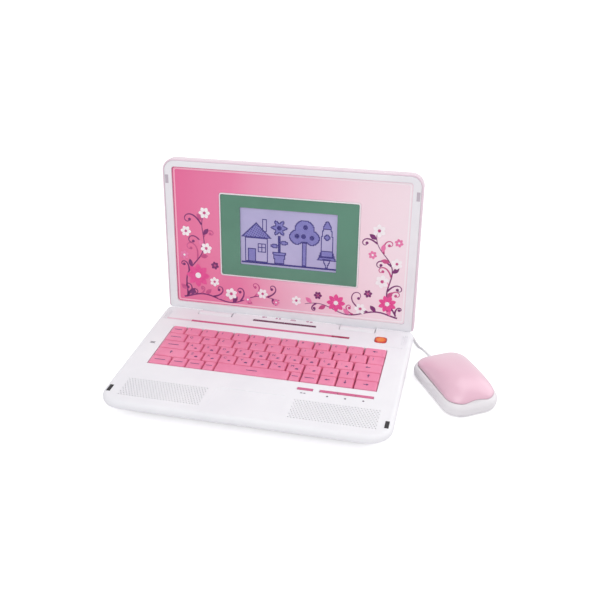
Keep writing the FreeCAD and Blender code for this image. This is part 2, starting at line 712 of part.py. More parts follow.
# mouse: rounded plans stacked from the floor to the crown
def park(shape):
    copy = shape.copy()
    copy.rotate(V(0, 0, 0), V(0, 0, 1), mouse_heading_deg)
    copy.translate(mouse_at)
    return copy


# lower shell as height and inset: rounded foot, upright side, rounded shoulder up to the seam
mouse_side = ((0.8, 3.2), (1.6, 1.8), (2.8, 0.85), (5.0, 0.2), (8.0, 0.0), (10.5, 0.3), (12.0, 0.9), (13.2, 1.7),
              (14.2, 2.6), (mouse_seam, mouse_shoulder))
mouse_crown = (0.12, 0.25, 0.4, 0.55, 0.7, 0.8, 0.9, 0.96, 0.99)


def mouse_form(inset):
    # above the seam each plan shrinks toward the crown by superellipses: blunt palm, long slope to the nose, full sides
    levels = []
    for z, side in mouse_side:
        if z > mouse_floor + inset - 0.01:
            d = side + inset
            levels.append((z, mouse_half[0] - d, mouse_half[0] - d, mouse_half[1] - d, d))
    d = mouse_shoulder + inset
    for s in mouse_crown:
        tail, nose, wide = [(1.0 - s ** p) ** (1.0 / p) for p in mouse_power]
        z = mouse_seam + (mouse_height - inset - mouse_seam) * s
        shrink = mouse_corner[0] - (mouse_corner[0] - d) * wide
        palm = (mouse_half[0] - d + mouse_crown_u) * tail - mouse_crown_u
        front = (mouse_half[0] - d - mouse_crown_u) * nose + mouse_crown_u
        levels.append((z, palm, front, (mouse_half[1] - d) * wide, shrink))
    rings = []
    for z, tail, nose, wide, less in levels:
        limit = 0.96 * min(wide, (tail + nose) / 2)
        palm_round, nose_round = [min(max(r - less, 6.0), limit) for r in mouse_corner]
        rings.append(outline(-wide, wide, -tail, nose, z, palm_round, nose_round))
    form = Part.makeLoft(rings, True, True)
    form.rotate(V(0, 0, 0), V(0, 0, 1), -90)
    return form


mouse_outer = mouse_form(0.0)
mouse_inner = mouse_form(mouse_wall)
mouse_shell = mouse_outer.cut(mouse_inner)

# the seam opens toward the nose, and the lower shell arches up at the palm end
seam_tail = mouse_seam - 0.3
seam_nose = mouse_seam - 1.35
arch_half = 12.0
arch_rise = 2.4
arch_radius = (arch_half ** 2 + arch_rise ** 2) / (2 * arch_rise)
arch_z = mouse_seam + arch_rise - arch_radius
below_seam = prism_y([(-60, -5), (60, -5), (60, seam_nose), (-60, seam_tail)], -40, 40)
arch = rod_x(-60, -40, 0, arch_z, arch_radius).common(box(-60, -40, -20, 20, 11, 20))
arch_clear = rod_x(-61, -39.6, 0, arch_z, arch_radius + 0.35)
above_seam = box(-60, 60, -40, 40, mouse_seam, 40)

board_z = 6.0
bottom_adds = [rod(u, v, mouse_floor + 1, board_z, 2.4) for u in (-24.0, 24.0) for v in (-14.0, 14.0)]
bottom_adds.append(rod(-32.0, 0.0, mouse_floor + 1, board_z, 3.2))
pivot_u = -38.0
pivot_z = 14.4
for v in (-15.0, 15.0):
    bottom_adds.append(rod(pivot_u, v, mouse_floor + 1, pivot_z, 1.8).common(mouse_outer))
relief_z = 6.0
lens_u = (-2.0, 12.0)
bottom_cuts = [Part.makeCylinder(2.45, 12.0, V(41, 0, relief_z), V(1, 0, 0))]
bottom_cuts.append(box(lens_u[0], lens_u[1], -5.0, 5.0, 0.0, mouse_floor + mouse_wall))
bottom_cuts.append(rod(-32.0, 0.0, 3.0, 8.0, 1.25))
mouse_bottom = mouse_shell.common(below_seam.fuse(arch)).fuse(bottom_adds).cut(bottom_cuts)
save("mouse_bottom_shell", [park(mouse_bottom)])

switch_u = 20.0
top_adds = [rod(switch_u, 0.0, 12.0, mouse_height - 0.8, 2.0)]
for v in (-15.0, 15.0):
    top_adds.append(box(pivot_u - 1.5, pivot_u + 1.5, v - 1.5, v + 1.5, pivot_z + 0.15, mouse_height))
top_adds = [part.common(mouse_outer) for part in top_adds]
mouse_top = mouse_shell.common(above_seam.cut(arch_clear)).fuse(top_adds)
save("mouse_top_shell", [park(mouse_top)])

board = [box(-36.0, 27.0, -18.0, 18.0, board_z, board_z + 1.6)]
board.append(box(switch_u - 3, switch_u + 3, -3.0, 3.0, board_z + 1, 11.0))
board.append(box(0.0, 10.0, -6.0, 6.0, board_z + 1, 10.5))
mouse_board = join(board).cut(rod(-32.0, 0.0, 0.0, 20.0, 1.4))
save("mouse_board", [park(mouse_board)])
screw_parts = [rod(-32.0, 0.0, board_z + 1.6, board_z + 3.0, 2.5), rod(-32.0, 0.0, 3.4, board_z + 2, 1.2)]
save("mouse_screw", [park(join(screw_parts))])
lens = [box(lens_u[0] + 0.2, lens_u[1] - 0.2, -4.8, 4.8, 1.4, mouse_floor + mouse_wall + 0.5)]
lens.append(box(lens_u[0] - 1, lens_u[1] + 1, -6.0, 6.0, mouse_floor + mouse_wall, mouse_floor + mouse_wall + 1.0))
save("mouse_lens", [park(join(lens))])
glides = []
for u in (-34.0, 34.0):
    for v in (-15.0, 15.0):
        glides.append(park(slab(u - 5, u + 5, v - 3, v + 3, 0.0, mouse_floor, 2.5, 2.5)))
save("mouse_glides", glides)

# cord reliefs, turned profiles given as distance along and radius
def turned(points, base, along):
    side = V(0, 0, 1)
    loop = [base + along * d + side * r for d, r in points]
    return Part.Face(Part.makePolygon(loop + loop[:1])).revolve(base, along, 360)


relief_profile = [(42.8, 0), (42.8, 2.4), (48.1, 2.4), (48.1, 3.3), (49.8, 3.3), (50.6, 2.8), (mouse_tip, 1.9),
                  (mouse_tip, 0)]
relief = turned(relief_profile, V(0, 0, relief_z), V(1, 0, 0))
relief = join([relief, box(41.4, 43.0, -4.0, 4.0, 4.8, 9.0)])
save("mouse_strain_relief", [park(relief)])

gland_profile = [(92.4, 0), (92.4, 2.5), (97.6, 2.5), (97.6, 3.4), (99.4, 3.4), (100.2, 2.9), (gland_tip_y, 1.9),
                 (gland_tip_y, 0)]
gland = turned(gland_profile, V(gland_x, 0, gland_z), V(0, 1, 0))
gland = join([gland, box(gland_x - 4, gland_x + 4, 90.8, 92.6, floor_z + 0.2, 10.0)])
save("cord_gland", [gland])


# cord: straight runs joined by tangent arcs
def cord_path(points):
    edges = []
    last = points[0]
    radii = []
    length = 0.0
    for before, at, after in zip(points, points[1:], points[2:]):
        back = before - at
        ahead = after - at
        run = min(back.Length, ahead.Length)
        back.normalize()
        ahead.normalize()
        turn = math.pi - back.getAngle(ahead)
        trim = 0.45 * run
        radius = trim / math.tan(turn / 2)
        start = at + back * trim
        end = at + ahead * trim
        middle = back + ahead
        middle.normalize()
        crown = at + middle * (radius / math.cos(turn / 2) - radius)
        edges.append(Part.makeLine(last, start))
        edges.append(Part.Arc(start, crown, end).toShape())
        radii.append(round(radius, 1))
        last = end
    edges.append(Part.makeLine(last, points[-1]))
    return Part.Wire(edges), radii


def tube(path, start, heading):
    ring = Part.Wire(Part.makeCircle(cord_radius, start, heading))
    return path.makePipeShell([ring], True, False)


def lay_cord(name, route):
    points = [V(*p) for p in route]
    path, radii = cord_path(points)
    solid = tube(path, points[0], points[1] - points[0])
    print(name, "bend radii", radii, "length", round(path.Length, 1))
    print(name, "volume over section times length", round(solid.Volume / path.Length / math.pi / cord_radius ** 2, 4))
    save(name, [solid])
    return path.Length


cx, cy = coil_centre
lead_in = (cx - coil_radii[0], cy - coil_lead, coil_low)
lead_out = (cx + coil_lead, cy + coil_radii[-1], coil_high)
cord_length = lay_cord("cord_to_coil", [
    (gland_x, gland_tip_y, gland_z), (gland_x, 116.0, gland_z), (gland_x, 124.0, coil_low), lead_in])
heading = math.radians(mouse_heading_deg)
ahead_of_nose = V(math.cos(heading), math.sin(heading), 0)
mouse_nose = mouse_at + ahead_of_nose * mouse_tip
nose_back = ahead_of_nose * 14
table_z = cord_radius
cord_length += lay_cord("cord_to_mouse", [
    lead_out, (86.0, lead_out[1], coil_high), (99.0, 151.5, table_z), (114.2, 148.7, table_z),
    (128.7, 141.9, table_z), (140.4, 131.0, table_z),
    (mouse_nose.x + 2 * nose_back.x, mouse_nose.y + 2 * nose_back.y, table_z),
    (mouse_nose.x + nose_back.x, mouse_nose.y + nose_back.y, relief_z), (mouse_nose.x, mouse_nose.y, relief_z)])


# put-away coil: quarter turns that draw in, climb and spread out again, each a pair of tangent arcs
def coil_point(q):
    i = min(int(q), len(coil_radii) - 2)
    r = coil_radii[i] + (coil_radii[i + 1] - coil_radii[i]) * (q - i)
    s = min(max((q - 3.5) / 2.0, 0.0), 1.0)
    a = math.pi - q * math.pi / 2
    return V(cx + r * math.cos(a), cy + r * math.sin(a), coil_low + (coil_high - coil_low) * s * s * (3 - 2 * s))


def coil_heading(q):
    last = len(coil_radii) - 1
    if q in (0, last):
        a = math.pi - q * math.pi / 2
        return V(math.sin(a), -math.cos(a), 0)
    step = coil_point(q + 0.02) - coil_point(q - 0.02)
    return step.normalize()


def arc_of(p, corner, r):
    middle = (p + r) * 0.5
    height = (corner - middle).Length
    half = (r - p).Length / 2
    rise = half * math.tan(math.atan(height / half) / 2)
    return Part.Arc(p, middle + (corner - middle) * (rise / height), r).toShape()


coil_edges = [Part.makeLine(V(*lead_in), coil_point(0))]
for q in range(len(coil_radii) - 1):
    p0 = coil_point(q)
    p1 = coil_point(q + 1)
    t0 = coil_heading(q)
    t1 = coil_heading(q + 1)
    span = p1 - p0
    both_ways = t0 + t1
    c = t0.dot(t1)
    b = span.dot(both_ways)
    d = (-b + math.sqrt(b * b + 2 * (1 - c) * span.dot(span))) / (2 * (1 - c))
    q0 = p0 + t0 * d
    q1 = p1 - t1 * d
    joint = (q0 + q1) * 0.5
    coil_edges.append(arc_of(p0, q0, joint))
    coil_edges.append(arc_of(joint, q1, p1))
coil_edges.append(Part.makeLine(coil_point(len(coil_radii) - 1), V(*lead_out)))
coil_path = Part.Wire(coil_edges)
coil = tube(coil_path, V(*lead_in), V(0, 1, 0))
cord_length += coil_path.Length
samples = coil_path.discretize(Number=400)
spacing = coil_path.Length / 399
skip = int(6 * cord_radius / spacing) + 1
least = min((samples[i] - samples[j]).Length for i in range(400) for j in range(i + skip, 400))
print("coil least gap to itself", round(least - 2 * cord_radius, 2))
print("coil volume over section times length",
      round(coil.Volume / coil_path.Length / math.pi / cord_radius ** 2, 4))
print("cord length in all", round(cord_length, 1))
save("cord_coil", [coil])

tie_outer = box(cx + 13.0, cx + 18.9, cy - 2, cy + 2, 0.05, 8.3)
tie_outer = tie_outer.makeFillet(1.4, [e for e in tie_outer.Edges if abs(e.Vertexes[0].Y - e.Vertexes[-1].Y) > 3])
tie_inner = box(cx + 13.7, cx + 18.2, cy - 3, cy + 3, 0.75, 7.6)
save("cord_tie", [tie_outer.cut(tie_inner)])
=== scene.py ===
import json
import math

import bmesh
import bpy
import numpy as np
from mathutils import Matrix


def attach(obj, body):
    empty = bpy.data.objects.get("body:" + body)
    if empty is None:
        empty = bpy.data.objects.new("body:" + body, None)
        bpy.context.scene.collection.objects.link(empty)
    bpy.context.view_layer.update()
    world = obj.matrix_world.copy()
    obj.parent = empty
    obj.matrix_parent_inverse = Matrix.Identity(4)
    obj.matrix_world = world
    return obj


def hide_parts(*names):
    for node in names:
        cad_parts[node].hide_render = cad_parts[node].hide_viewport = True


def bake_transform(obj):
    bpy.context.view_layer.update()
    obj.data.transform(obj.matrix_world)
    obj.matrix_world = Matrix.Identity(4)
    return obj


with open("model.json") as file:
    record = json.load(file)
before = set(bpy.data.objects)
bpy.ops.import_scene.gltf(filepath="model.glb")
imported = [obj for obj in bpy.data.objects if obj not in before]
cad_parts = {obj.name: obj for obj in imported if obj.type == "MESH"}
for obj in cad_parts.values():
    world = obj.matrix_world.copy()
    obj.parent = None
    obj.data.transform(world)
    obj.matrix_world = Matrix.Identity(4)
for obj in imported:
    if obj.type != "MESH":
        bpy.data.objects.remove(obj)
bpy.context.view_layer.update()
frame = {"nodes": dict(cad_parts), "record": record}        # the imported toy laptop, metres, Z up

mm = 0.001
nodes = frame["nodes"]
print("stage: frame loaded,", len(nodes), "nodes")


# shared helpers

def tone(red, green, blue):  # display values 0 to 255 turned into linear light
    c = np.array([red, green, blue]) / 255.0
    return tuple(np.where(c <= 0.04045, c / 12.92, ((c + 0.055) / 1.055) ** 2.4)) + (1.0,)


def gridFaces(rows, cols, loop=True, wrap=False):
    # quads between neighbouring rings of a grid; loop joins the last column to the first, wrap the last row
    r = np.arange(rows if wrap else rows - 1)[:, None]
    c = np.arange(cols if loop else cols - 1)[None, :]
    up, side = (r + 1) % rows, (c + 1) % cols
    quad = np.broadcast_arrays(r * cols + c, r * cols + side, up * cols + side, up * cols + c)
    return np.stack(quad, -1).reshape(-1, 4)


def repeatFaces(faces, count, step):
    # the same faces for each of several equal blocks of points
    return (faces[None] + (np.arange(count) * step)[:, None, None]).reshape(-1, faces.shape[1])


def makePiece(name, points, faces, finish, body, slot, smooth=True, weld=False):
    # points in millimetres; a welded piece has its poles closed and its normals turned outward
    mesh = bpy.data.meshes.new(name)
    pts = np.asarray(points, float).reshape(-1, 3) * mm
    mesh.from_pydata(pts.tolist(), [], faces.tolist() if hasattr(faces, "tolist") else faces)
    if weld:
        work = bmesh.new()
        work.from_mesh(mesh)
        bmesh.ops.remove_doubles(work, verts=work.verts, dist=2e-6)
        bmesh.ops.dissolve_degenerate(work, edges=work.edges, dist=1e-7)
        bmesh.ops.recalc_face_normals(work, faces=work.faces)
        work.to_mesh(mesh)
        work.free()
    mesh.polygons.foreach_set("use_smooth", np.full(len(mesh.polygons), smooth))
    mesh.materials.append(finish)
    mesh.validate()
    piece = bpy.data.objects.new(name, mesh)
    bpy.context.collection.objects.link(piece)
    if body:
        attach(piece, body)
    return piece


def roundRect(x0, x1, y0, y1, radius, perCorner=6):
    # loop of points round a rectangle, each corner a quarter circle; arrays of bounds give arrays of loops
    x0, x1, y0, y1, radius = [np.asarray(v, float)[..., None] for v in (x0, x1, y0, y1, radius)]
    turn = np.linspace(0, math.pi / 2, perCorner)
    parts = []
    for k, (cx, cy) in enumerate(((x1 - radius, y1 - radius), (x0 + radius, y1 - radius),
                                  (x0 + radius, y0 + radius), (x1 - radius, y0 + radius))):
        a = turn + k * math.pi / 2
        parts.append(np.stack([cx + radius * np.cos(a), cy + radius * np.sin(a)], -1))
    return np.concatenate(parts, -2)


# camera, light and floor

view = {"place": (205.209, -661.191, 486.062), "yaw": -14.024, "pitch": 29.072, "roll": -0.989,
        "focalPixels": 789.133, "imagePixels": 600, "sensor": 36.0}

yaw, pitch, roll = [math.radians(view[k]) for k in ("yaw", "pitch", "roll")]
ahead = np.array([math.sin(yaw) * math.cos(pitch), math.cos(yaw) * math.cos(pitch), -math.sin(pitch)])
level = np.array([math.cos(yaw), -math.sin(yaw), 0.0])
over = np.cross(level, ahead)
right = math.cos(roll) * level + math.sin(roll) * over
upward = -math.sin(roll) * level + math.cos(roll) * over
cameraData = bpy.data.cameras.new("photoCamera")
cameraData.sensor_width = view["sensor"]
cameraData.lens = view["focalPixels"] * view["sensor"] / view["imagePixels"]
cameraData.clip_end = 20.0
camera = bpy.data.objects.new("photoCamera", cameraData)
axes = np.eye(4)
axes[:3, :4] = np.column_stack([right, upward, -ahead, np.array(view["place"]) * mm])
camera.matrix_world = Matrix(axes.tolist())
bpy.context.collection.objects.link(camera)
bpy.context.scene.camera = camera
bpy.context.scene.view_settings.view_transform = "Standard"

lamps = {
    "softFront": {"place": (-0.2, -1.4, 1.5), "aim": (0.0, 0.0, 0.05), "size": 1.6, "power": 13.4},
    "softRight": {"place": (1.6, 0.8, 0.95), "aim": (0.15, 0.0, 0.03), "size": 1.9, "power": 12.0},
    "softTop": {"place": (0.35, 0.3, 1.9), "aim": (0.05, 0.0, 0.0), "size": 1.5, "power": 8.8},
}
for name, lamp in lamps.items():
    light = bpy.data.lights.new(name, "AREA")
    light.size = lamp["size"]
    light.energy = lamp["power"]
    holder = bpy.data.objects.new(name, light)
    back = np.array(lamp["place"]) - np.array(lamp["aim"])
    back /= np.linalg.norm(back)
    across = np.cross((0, 0, 1), back)
    across /= np.linalg.norm(across)
    axes = np.eye(4)
    axes[:3, :4] = np.column_stack([across, np.cross(back, across), back, lamp["place"]])
    holder.matrix_world = Matrix(axes.tolist())
    bpy.context.collection.objects.link(holder)

surround = {"ambient": 0.52, "floorHalf": 6.0, "floorGlow": (0.44, 1.0), "glowSpan": (0.9, 2.6),
            "floorTone": (244, 243, 245)}

world = bpy.data.worlds.new("paleStudio")
world.use_nodes = True
bpy.context.scene.world = world
tree = world.node_tree
tree.nodes.clear()
path = tree.nodes.new("ShaderNodeLightPath")
seen = tree.nodes.new("ShaderNodeMath")
seen.operation = "MAXIMUM"
seenToo = tree.nodes.new("ShaderNodeMath")
seenToo.operation = "MAXIMUM"
tree.links.new(path.outputs["Is Camera Ray"], seen.inputs[0])
tree.links.new(path.outputs["Is Glossy Ray"], seen.inputs[1])
tree.links.new(seen.outputs[0], seenToo.inputs[0])
tree.links.new(path.outputs["Is Transmission Ray"], seenToo.inputs[1])
strength = tree.nodes.new("ShaderNodeMapRange")
strength.inputs["To Min"].default_value = surround["ambient"]
strength.inputs["To Max"].default_value = 1.0
tree.links.new(seenToo.outputs[0], strength.inputs["Value"])
sky = tree.nodes.new("ShaderNodeBackground")
sky.inputs["Color"].default_value = (1, 1, 1, 1)
tree.links.new(strength.outputs[0], sky.inputs["Strength"])
tree.links.new(sky.outputs[0], tree.nodes.new("ShaderNodeOutputWorld").inputs["Surface"])

floorFinish = bpy.data.materials.new("paleFloor")
floorFinish.use_nodes = True
tree = floorFinish.node_tree
tree.nodes.clear()
path = tree.nodes.new("ShaderNodeLightPath")
matte = tree.nodes.new("ShaderNodeBsdfDiffuse")
matte.inputs["Color"].default_value = tone(*surround["floorTone"])
glow = tree.nodes.new("ShaderNodeEmission")
glow.inputs["Color"].default_value = (1, 1, 1, 1)
place = tree.nodes.new("ShaderNodeTexCoord")
far = tree.nodes.new("ShaderNodeVectorMath")
far.operation = "LENGTH"
reach = tree.nodes.new("ShaderNodeMapRange")  # the floor seen far from the lamps is lifted to the same white
reach.interpolation_type = "SMOOTHSTEP"
reach.inputs["From Min"].default_value, reach.inputs["From Max"].default_value = surround["glowSpan"]
reach.inputs["To Min"].default_value, reach.inputs["To Max"].default_value = surround["floorGlow"]
lift = tree.nodes.new("ShaderNodeMath")
lift.operation = "MULTIPLY"
tree.links.new(place.outputs["Object"], far.inputs[0])
tree.links.new(far.outputs["Value"], reach.inputs["Value"])
tree.links.new(path.outputs["Is Camera Ray"], lift.inputs[0])
tree.links.new(reach.outputs["Result"], lift.inputs[1])
tree.links.new(lift.outputs[0], glow.inputs["Strength"])
both = tree.nodes.new("ShaderNodeAddShader")
tree.links.new(matte.outputs[0], both.inputs[0])
tree.links.new(glow.outputs[0], both.inputs[1])
tree.links.new(both.outputs[0], tree.nodes.new("ShaderNodeOutputMaterial").inputs["Surface"])
half = surround["floorHalf"]
floorMesh = bpy.data.meshes.new("floor")
floorMesh.from_pydata([(-half, -half, 0), (half, -half, 0), (half, half, 0), (-half, half, 0)], [], [(0, 1, 2, 3)])
floorMesh.materials.append(floorFinish)
floor = bpy.data.objects.new("floor", floorMesh)
bpy.context.collection.objects.link(floor)
print("stage: camera, lamps and floor")


# finishes

def mouldedPlastic(name, light, dark, rough=(0.32, 0.42), cloud=22.0, grain=2600.0, bump=0.03, coat=0.0,
                   metallic=0.0, coatRough=0.12):
    # two tones drift over the surface, a fine grain moves the roughness and lifts a faint bump
    mat = bpy.data.materials.new(name)
    mat.use_nodes = True
    tree = mat.node_tree
    shader = tree.nodes["Principled BSDF"]
    shader.inputs["Metallic"].default_value = metallic
    shader.inputs["Coat Weight"].default_value = coat
    shader.inputs["Coat Roughness"].default_value = coatRough
    place = tree.nodes.new("ShaderNodeTexCoord")
    drift = tree.nodes.new("ShaderNodeTexNoise")
    drift.inputs["Scale"].default_value = cloud
    drift.inputs["Detail"].default_value = 3.0
    fine = tree.nodes.new("ShaderNodeTexNoise")
    fine.inputs["Scale"].default_value = grain
    fine.inputs["Detail"].default_value = 2.0
    tones = tree.nodes.new("ShaderNodeValToRGB")
    tones.color_ramp.elements[0].position = 0.35
    tones.color_ramp.elements[1].position = 0.65
    tones.color_ramp.elements[0].color = dark
    tones.color_ramp.elements[1].color = light
    sheen = tree.nodes.new("ShaderNodeMapRange")
    sheen.inputs["To Min"].default_value = rough[0]
    sheen.inputs["To Max"].default_value = rough[1]
    raised = tree.nodes.new("ShaderNodeBump")
    raised.inputs["Strength"].default_value = bump
    raised.inputs["Distance"].default_value = 0.0002
    for target in (drift, fine):
        tree.links.new(place.outputs["Object"], target.inputs["Vector"])
    tree.links.new(drift.outputs["Fac"], tones.inputs["Fac"])
    tree.links.new(tones.outputs["Color"], shader.inputs["Base Color"])
    tree.links.new(fine.outputs["Fac"], sheen.inputs["Value"])
    tree.links.new(sheen.outputs["Result"], shader.inputs["Roughness"])
    tree.links.new(fine.outputs["Fac"], raised.inputs["Height"])
    tree.links.new(raised.outputs["Normal"], shader.inputs["Normal"])
    return mat


finishSet = {  # slot: name, light tone, dark tone, roughness range, other settings
    "case_white": ("caseWhite", (242, 241, 245), (237, 236, 241), (0.46, 0.56), {"coat": 0.05}),
    "case_pink": ("casePearl", (234, 212, 224), (231, 208, 221), (0.25, 0.34), {"coat": 0.3}),
    "cell_metal": ("cellSleeve", (92, 96, 104), (70, 72, 80), (0.3, 0.4), {"metallic": 0.4}),
    "contact_metal": ("contactPlating", (205, 200, 180), (186, 180, 160), (0.2, 0.32), {"metallic": 0.9}),
    "board_green": ("boardLacquer", (34, 104, 66), (26, 88, 54), (0.35, 0.5), {"cloud": 140.0}),
    "dome_rubber": ("domeRubber", (206, 84, 126), (196, 74, 116), (0.6, 0.75), {}),
    "speaker_metal": ("speakerPaint", (52, 52, 56), (40, 40, 44), (0.45, 0.6), {}),
    "foot_rubber": ("padRubber", (44, 42, 46), (34, 32, 36), (0.55, 0.7), {"bump": 0.08}),
    "screw_steel": ("screwPlating", (190, 190, 194), (168, 168, 174), (0.22, 0.34), {"metallic": 0.9}),
    "accent_pink": ("accentPink", (214, 104, 146), (208, 96, 138), (0.25, 0.35), {"coat": 0.2}),
    "lamp_red": ("lampRed", (176, 52, 92), (156, 38, 78), (0.12, 0.2), {"coat": 0.4}),
    "power_orange": ("powerOrange", (246, 128, 52), (238, 112, 40), (0.2, 0.3), {"coat": 0.3}),
    "function_purple": ("functionPurple", (98, 34, 76), (86, 26, 66), (0.2, 0.3), {"coat": 0.3}),
    "key_pink": ("keyPink", (240, 142, 176), (234, 132, 168), (0.38, 0.5), {"cloud": 60.0}),
    "rim_white": ("rimWhite", (244, 238, 242), (238, 231, 237), (0.25, 0.34), {"coat": 0.2}),
    "pad_grey": ("padGrey", (200, 190, 200), (190, 180, 192), (0.5, 0.65), {}),
    "mouse_white": ("mouseWhite", (238, 235, 238), (232, 228, 232), (0.3, 0.4), {"coat": 0.15}),
    "mouse_pink": ("mousePink", (234, 190, 208), (230, 184, 203), (0.26, 0.34), {"coat": 1.0, "coatRough": 0.28}),
    "lens_clear": ("lensClear", (150, 60, 66), (130, 46, 54), (0.05, 0.1), {"coat": 0.5}),
    "glide_dark": ("glideDark", (60, 60, 64), (50, 50, 54), (0.4, 0.5), {}),
    "cord_grey": ("cordGrey", (232, 231, 233), (224, 222, 226), (0.42, 0.55), {"cloud": 120.0}),
    "tie_dark": ("tieDark", (58, 56, 62), (46, 44, 50), (0.5, 0.65), {"bump": 0.1}),
    "window_green": ("maskGreen", (89, 142, 119), (83, 134, 112), (0.16, 0.24), {"coat": 0.3}),
    "display_lavender": ("displayLavender", (190, 186, 224), (182, 178, 218), (0.2, 0.3), {"cloud": 30.0}),
}
finishes = {slot: mouldedPlastic(name, tone(*light), tone(*dark), rough, **more)
            for slot, (name, light, dark, rough, more) in finishSet.items()}


def printInk(name, light, dark):  # printed colour, a little uneven and with no relief
    return mouldedPlastic(name, tone(*light), tone(*dark), (0.3, 0.38), cloud=180.0, bump=0.0)


rampSet = {"half": 0.135, "patchScale": 11.0}  # half width of the print in metres


def rampPrint(name, stops, patches):
    # printed colours that change across the lid from left to right, shifted by soft broad patches
    mat = mouldedPlastic(name, tone(*stops[-1][1]), tone(*stops[0][1]), (0.16, 0.24), cloud=9.0, bump=0.0,
                         coat=0.25)
    tree = mat.node_tree
    shader = tree.nodes["Principled BSDF"]
    place = tree.nodes.new("ShaderNodeTexCoord")
    split = tree.nodes.new("ShaderNodeSeparateXYZ")
    spread = tree.nodes.new("ShaderNodeMapRange")
    spread.inputs["From Min"].default_value = -rampSet["half"]
    spread.inputs["From Max"].default_value = rampSet["half"]
    drift = tree.nodes.new("ShaderNodeTexNoise")
    drift.inputs["Scale"].default_value = rampSet["patchScale"]
    shift = tree.nodes.new("ShaderNodeMath")
    shift.operation = "MULTIPLY_ADD"
    shift.inputs[1].default_value = patches
    offset = tree.nodes.new("ShaderNodeMath")
    offset.operation = "SUBTRACT"
    offset.inputs[1].default_value = patches / 2
    ramp = tree.nodes.new("ShaderNodeValToRGB")
    ramp.color_ramp.elements[0].color = tone(*stops[0][1])
    ramp.color_ramp.elements[1].color = tone(*stops[-1][1])
    for at, colour in stops[1:-1]:
        ramp.color_ramp.elements.new(at).color = tone(*colour)
    tree.links.new(place.outputs["Object"], split.inputs[0])
    tree.links.new(split.outputs["X"], spread.inputs["Value"])
    tree.links.new(place.outputs["Object"], drift.inputs["Vector"])
    tree.links.new(drift.outputs["Fac"], shift.inputs[0])
    tree.links.new(spread.outputs["Result"], shift.inputs[2])
    tree.links.new(shift.outputs[0], offset.inputs[0])
    tree.links.new(offset.outputs[0], ramp.inputs["Fac"])
    tree.links.new(ramp.outputs["Color"], shader.inputs["Base Color"])
    return mat


def shadedRimTint(mat, centre, half, inner, rim):
    # the colour goes from the middle of a rounded button to its rim, by distance measured in button halves; the
    # darker rim colour is painted shade of the gap round the button
    tree = mat.node_tree
    place = tree.nodes.new("ShaderNodeTexCoord")
    move = tree.nodes.new("ShaderNodeVectorMath")
    move.operation = "SUBTRACT"
    move.inputs[1].default_value = [v * mm for v in centre]
    scale = tree.nodes.new("ShaderNodeVectorMath")
    scale.operation = "DIVIDE"
    scale.inputs[1].default_value = [v * mm for v in half]
    far = tree.nodes.new("ShaderNodeVectorMath")
    far.operation = "LENGTH"
    ramp = tree.nodes.new("ShaderNodeValToRGB")
    ramp.color_ramp.elements[0].position = 0.55
    ramp.color_ramp.elements[1].position = 1.05
    ramp.color_ramp.elements[0].color = tone(*inner)
    ramp.color_ramp.elements[1].color = tone(*rim)
    tree.links.new(place.outputs["Object"], move.inputs[0])
    tree.links.new(move.outputs[0], scale.inputs[0])
    tree.links.new(scale.outputs[0], far.inputs[0])
    tree.links.new(far.outputs["Value"], ramp.inputs["Fac"])
    tree.links.new(ramp.outputs["Color"], tree.nodes["Principled BSDF"].inputs["Base Color"])


# painted shade: the power button's orange darkens to red toward its rim, standing in for the shadow ring in the gap
# round it
powerRimShade = {"centre": (112.4, 72.3, 26.6), "half": (6.4, 6.0, 9.0), "inner": (240, 132, 48), "rim": (200, 50, 38)}
shadedRimTint(finishes["power_orange"], **powerRimShade)
finishes["panel_print"] = rampPrint("panelPrint", (
    (0.0, (236, 108, 158)), (0.28, (240, 132, 174)), (0.55, (247, 188, 210)), (0.8, (250, 221, 232)),
    (1.0, (251, 234, 241))), 0.16)
inks = {
    "white": printInk("inkWhite", (252, 248, 250), (248, 242, 246)),
    "hotPink": printInk("inkHotPink", (238, 84, 156), (230, 70, 146)),
    "softPink": printInk("inkSoftPink", (238, 128, 178), (232, 116, 170)),
    "plum": printInk("inkPlum", (128, 44, 116), (114, 34, 104)),
    "rose": printInk("inkRose", (206, 84, 142), (196, 72, 132)),
    "paleLine": rampPrint("inkPaleLine", ((0.0, (252, 176, 202)), (0.5, (251, 216, 229)),
                                          (1.0, (252, 244, 248))), 0.04),
    "edgeLine": rampPrint("inkEdgeLine", ((0.0, (226, 98, 146)), (0.4, (232, 138, 172)), (0.75, (244, 206, 220)),
                                          (1.0, (247, 226, 234))), 0.04),
    "legend": printInk("inkLegend", (96, 62, 112), (84, 52, 102)),
    "iconMauve": printInk("inkIconMauve", (192, 134, 164), (184, 124, 156)),
    "markDark": printInk("inkMarkDark", (120, 108, 124), (108, 96, 114)),
    "pixel": printInk("inkPixel", (58, 50, 134), (50, 42, 124)),
    "pixelMid": printInk("inkPixelMid", (136, 134, 202), (128, 126, 196)),
    "paleStrip": printInk("inkPaleStrip", (238, 206, 218), (232, 198, 212)),
}
print("stage: finishes")

slotOf = {row["node"]: row["material_slot"] for row in frame["record"]["subparts"]}
for nodeName, part in nodes.items():
    for slotRow in part.material_slots:
        slotRow.material = finishes[slotOf[nodeName]]


# cord: gland, put-away coil behind the base, lead to the mouse

cordSet = {"radius": 1.5, "coilCentre": (70.2, 134.0), "coilLow": 2.4, "coilHigh": 5.9,
           "coilRadii": (18.2, 17.3, 16.4, 15.5, 14.6, 14.6, 15.5, 16.4, 17.3, 18.2), "perQuarter": 4,
           "out": ((52, 108, 6.5), (52, 116, 6.5), (52, 124, 2.4), (52, 131, 2.4)),
           "lead": ((73.2, 152.2, 5.9), (86, 152.2, 5.9), (99, 151.5, 1.5), (114.2, 148.7, 1.5), (128.7, 141.9, 1.5),
                    (140.4, 131, 1.5), (151.04, 106.02, 1.5), (158.44, 94.14, 6.0), (165.84, 82.25, 6.0)),
           "around": 12, "bendFrom": (0.110, 0.1495, 0.0015), "bendTo": (0.1584, 0.0941, 0.006)}


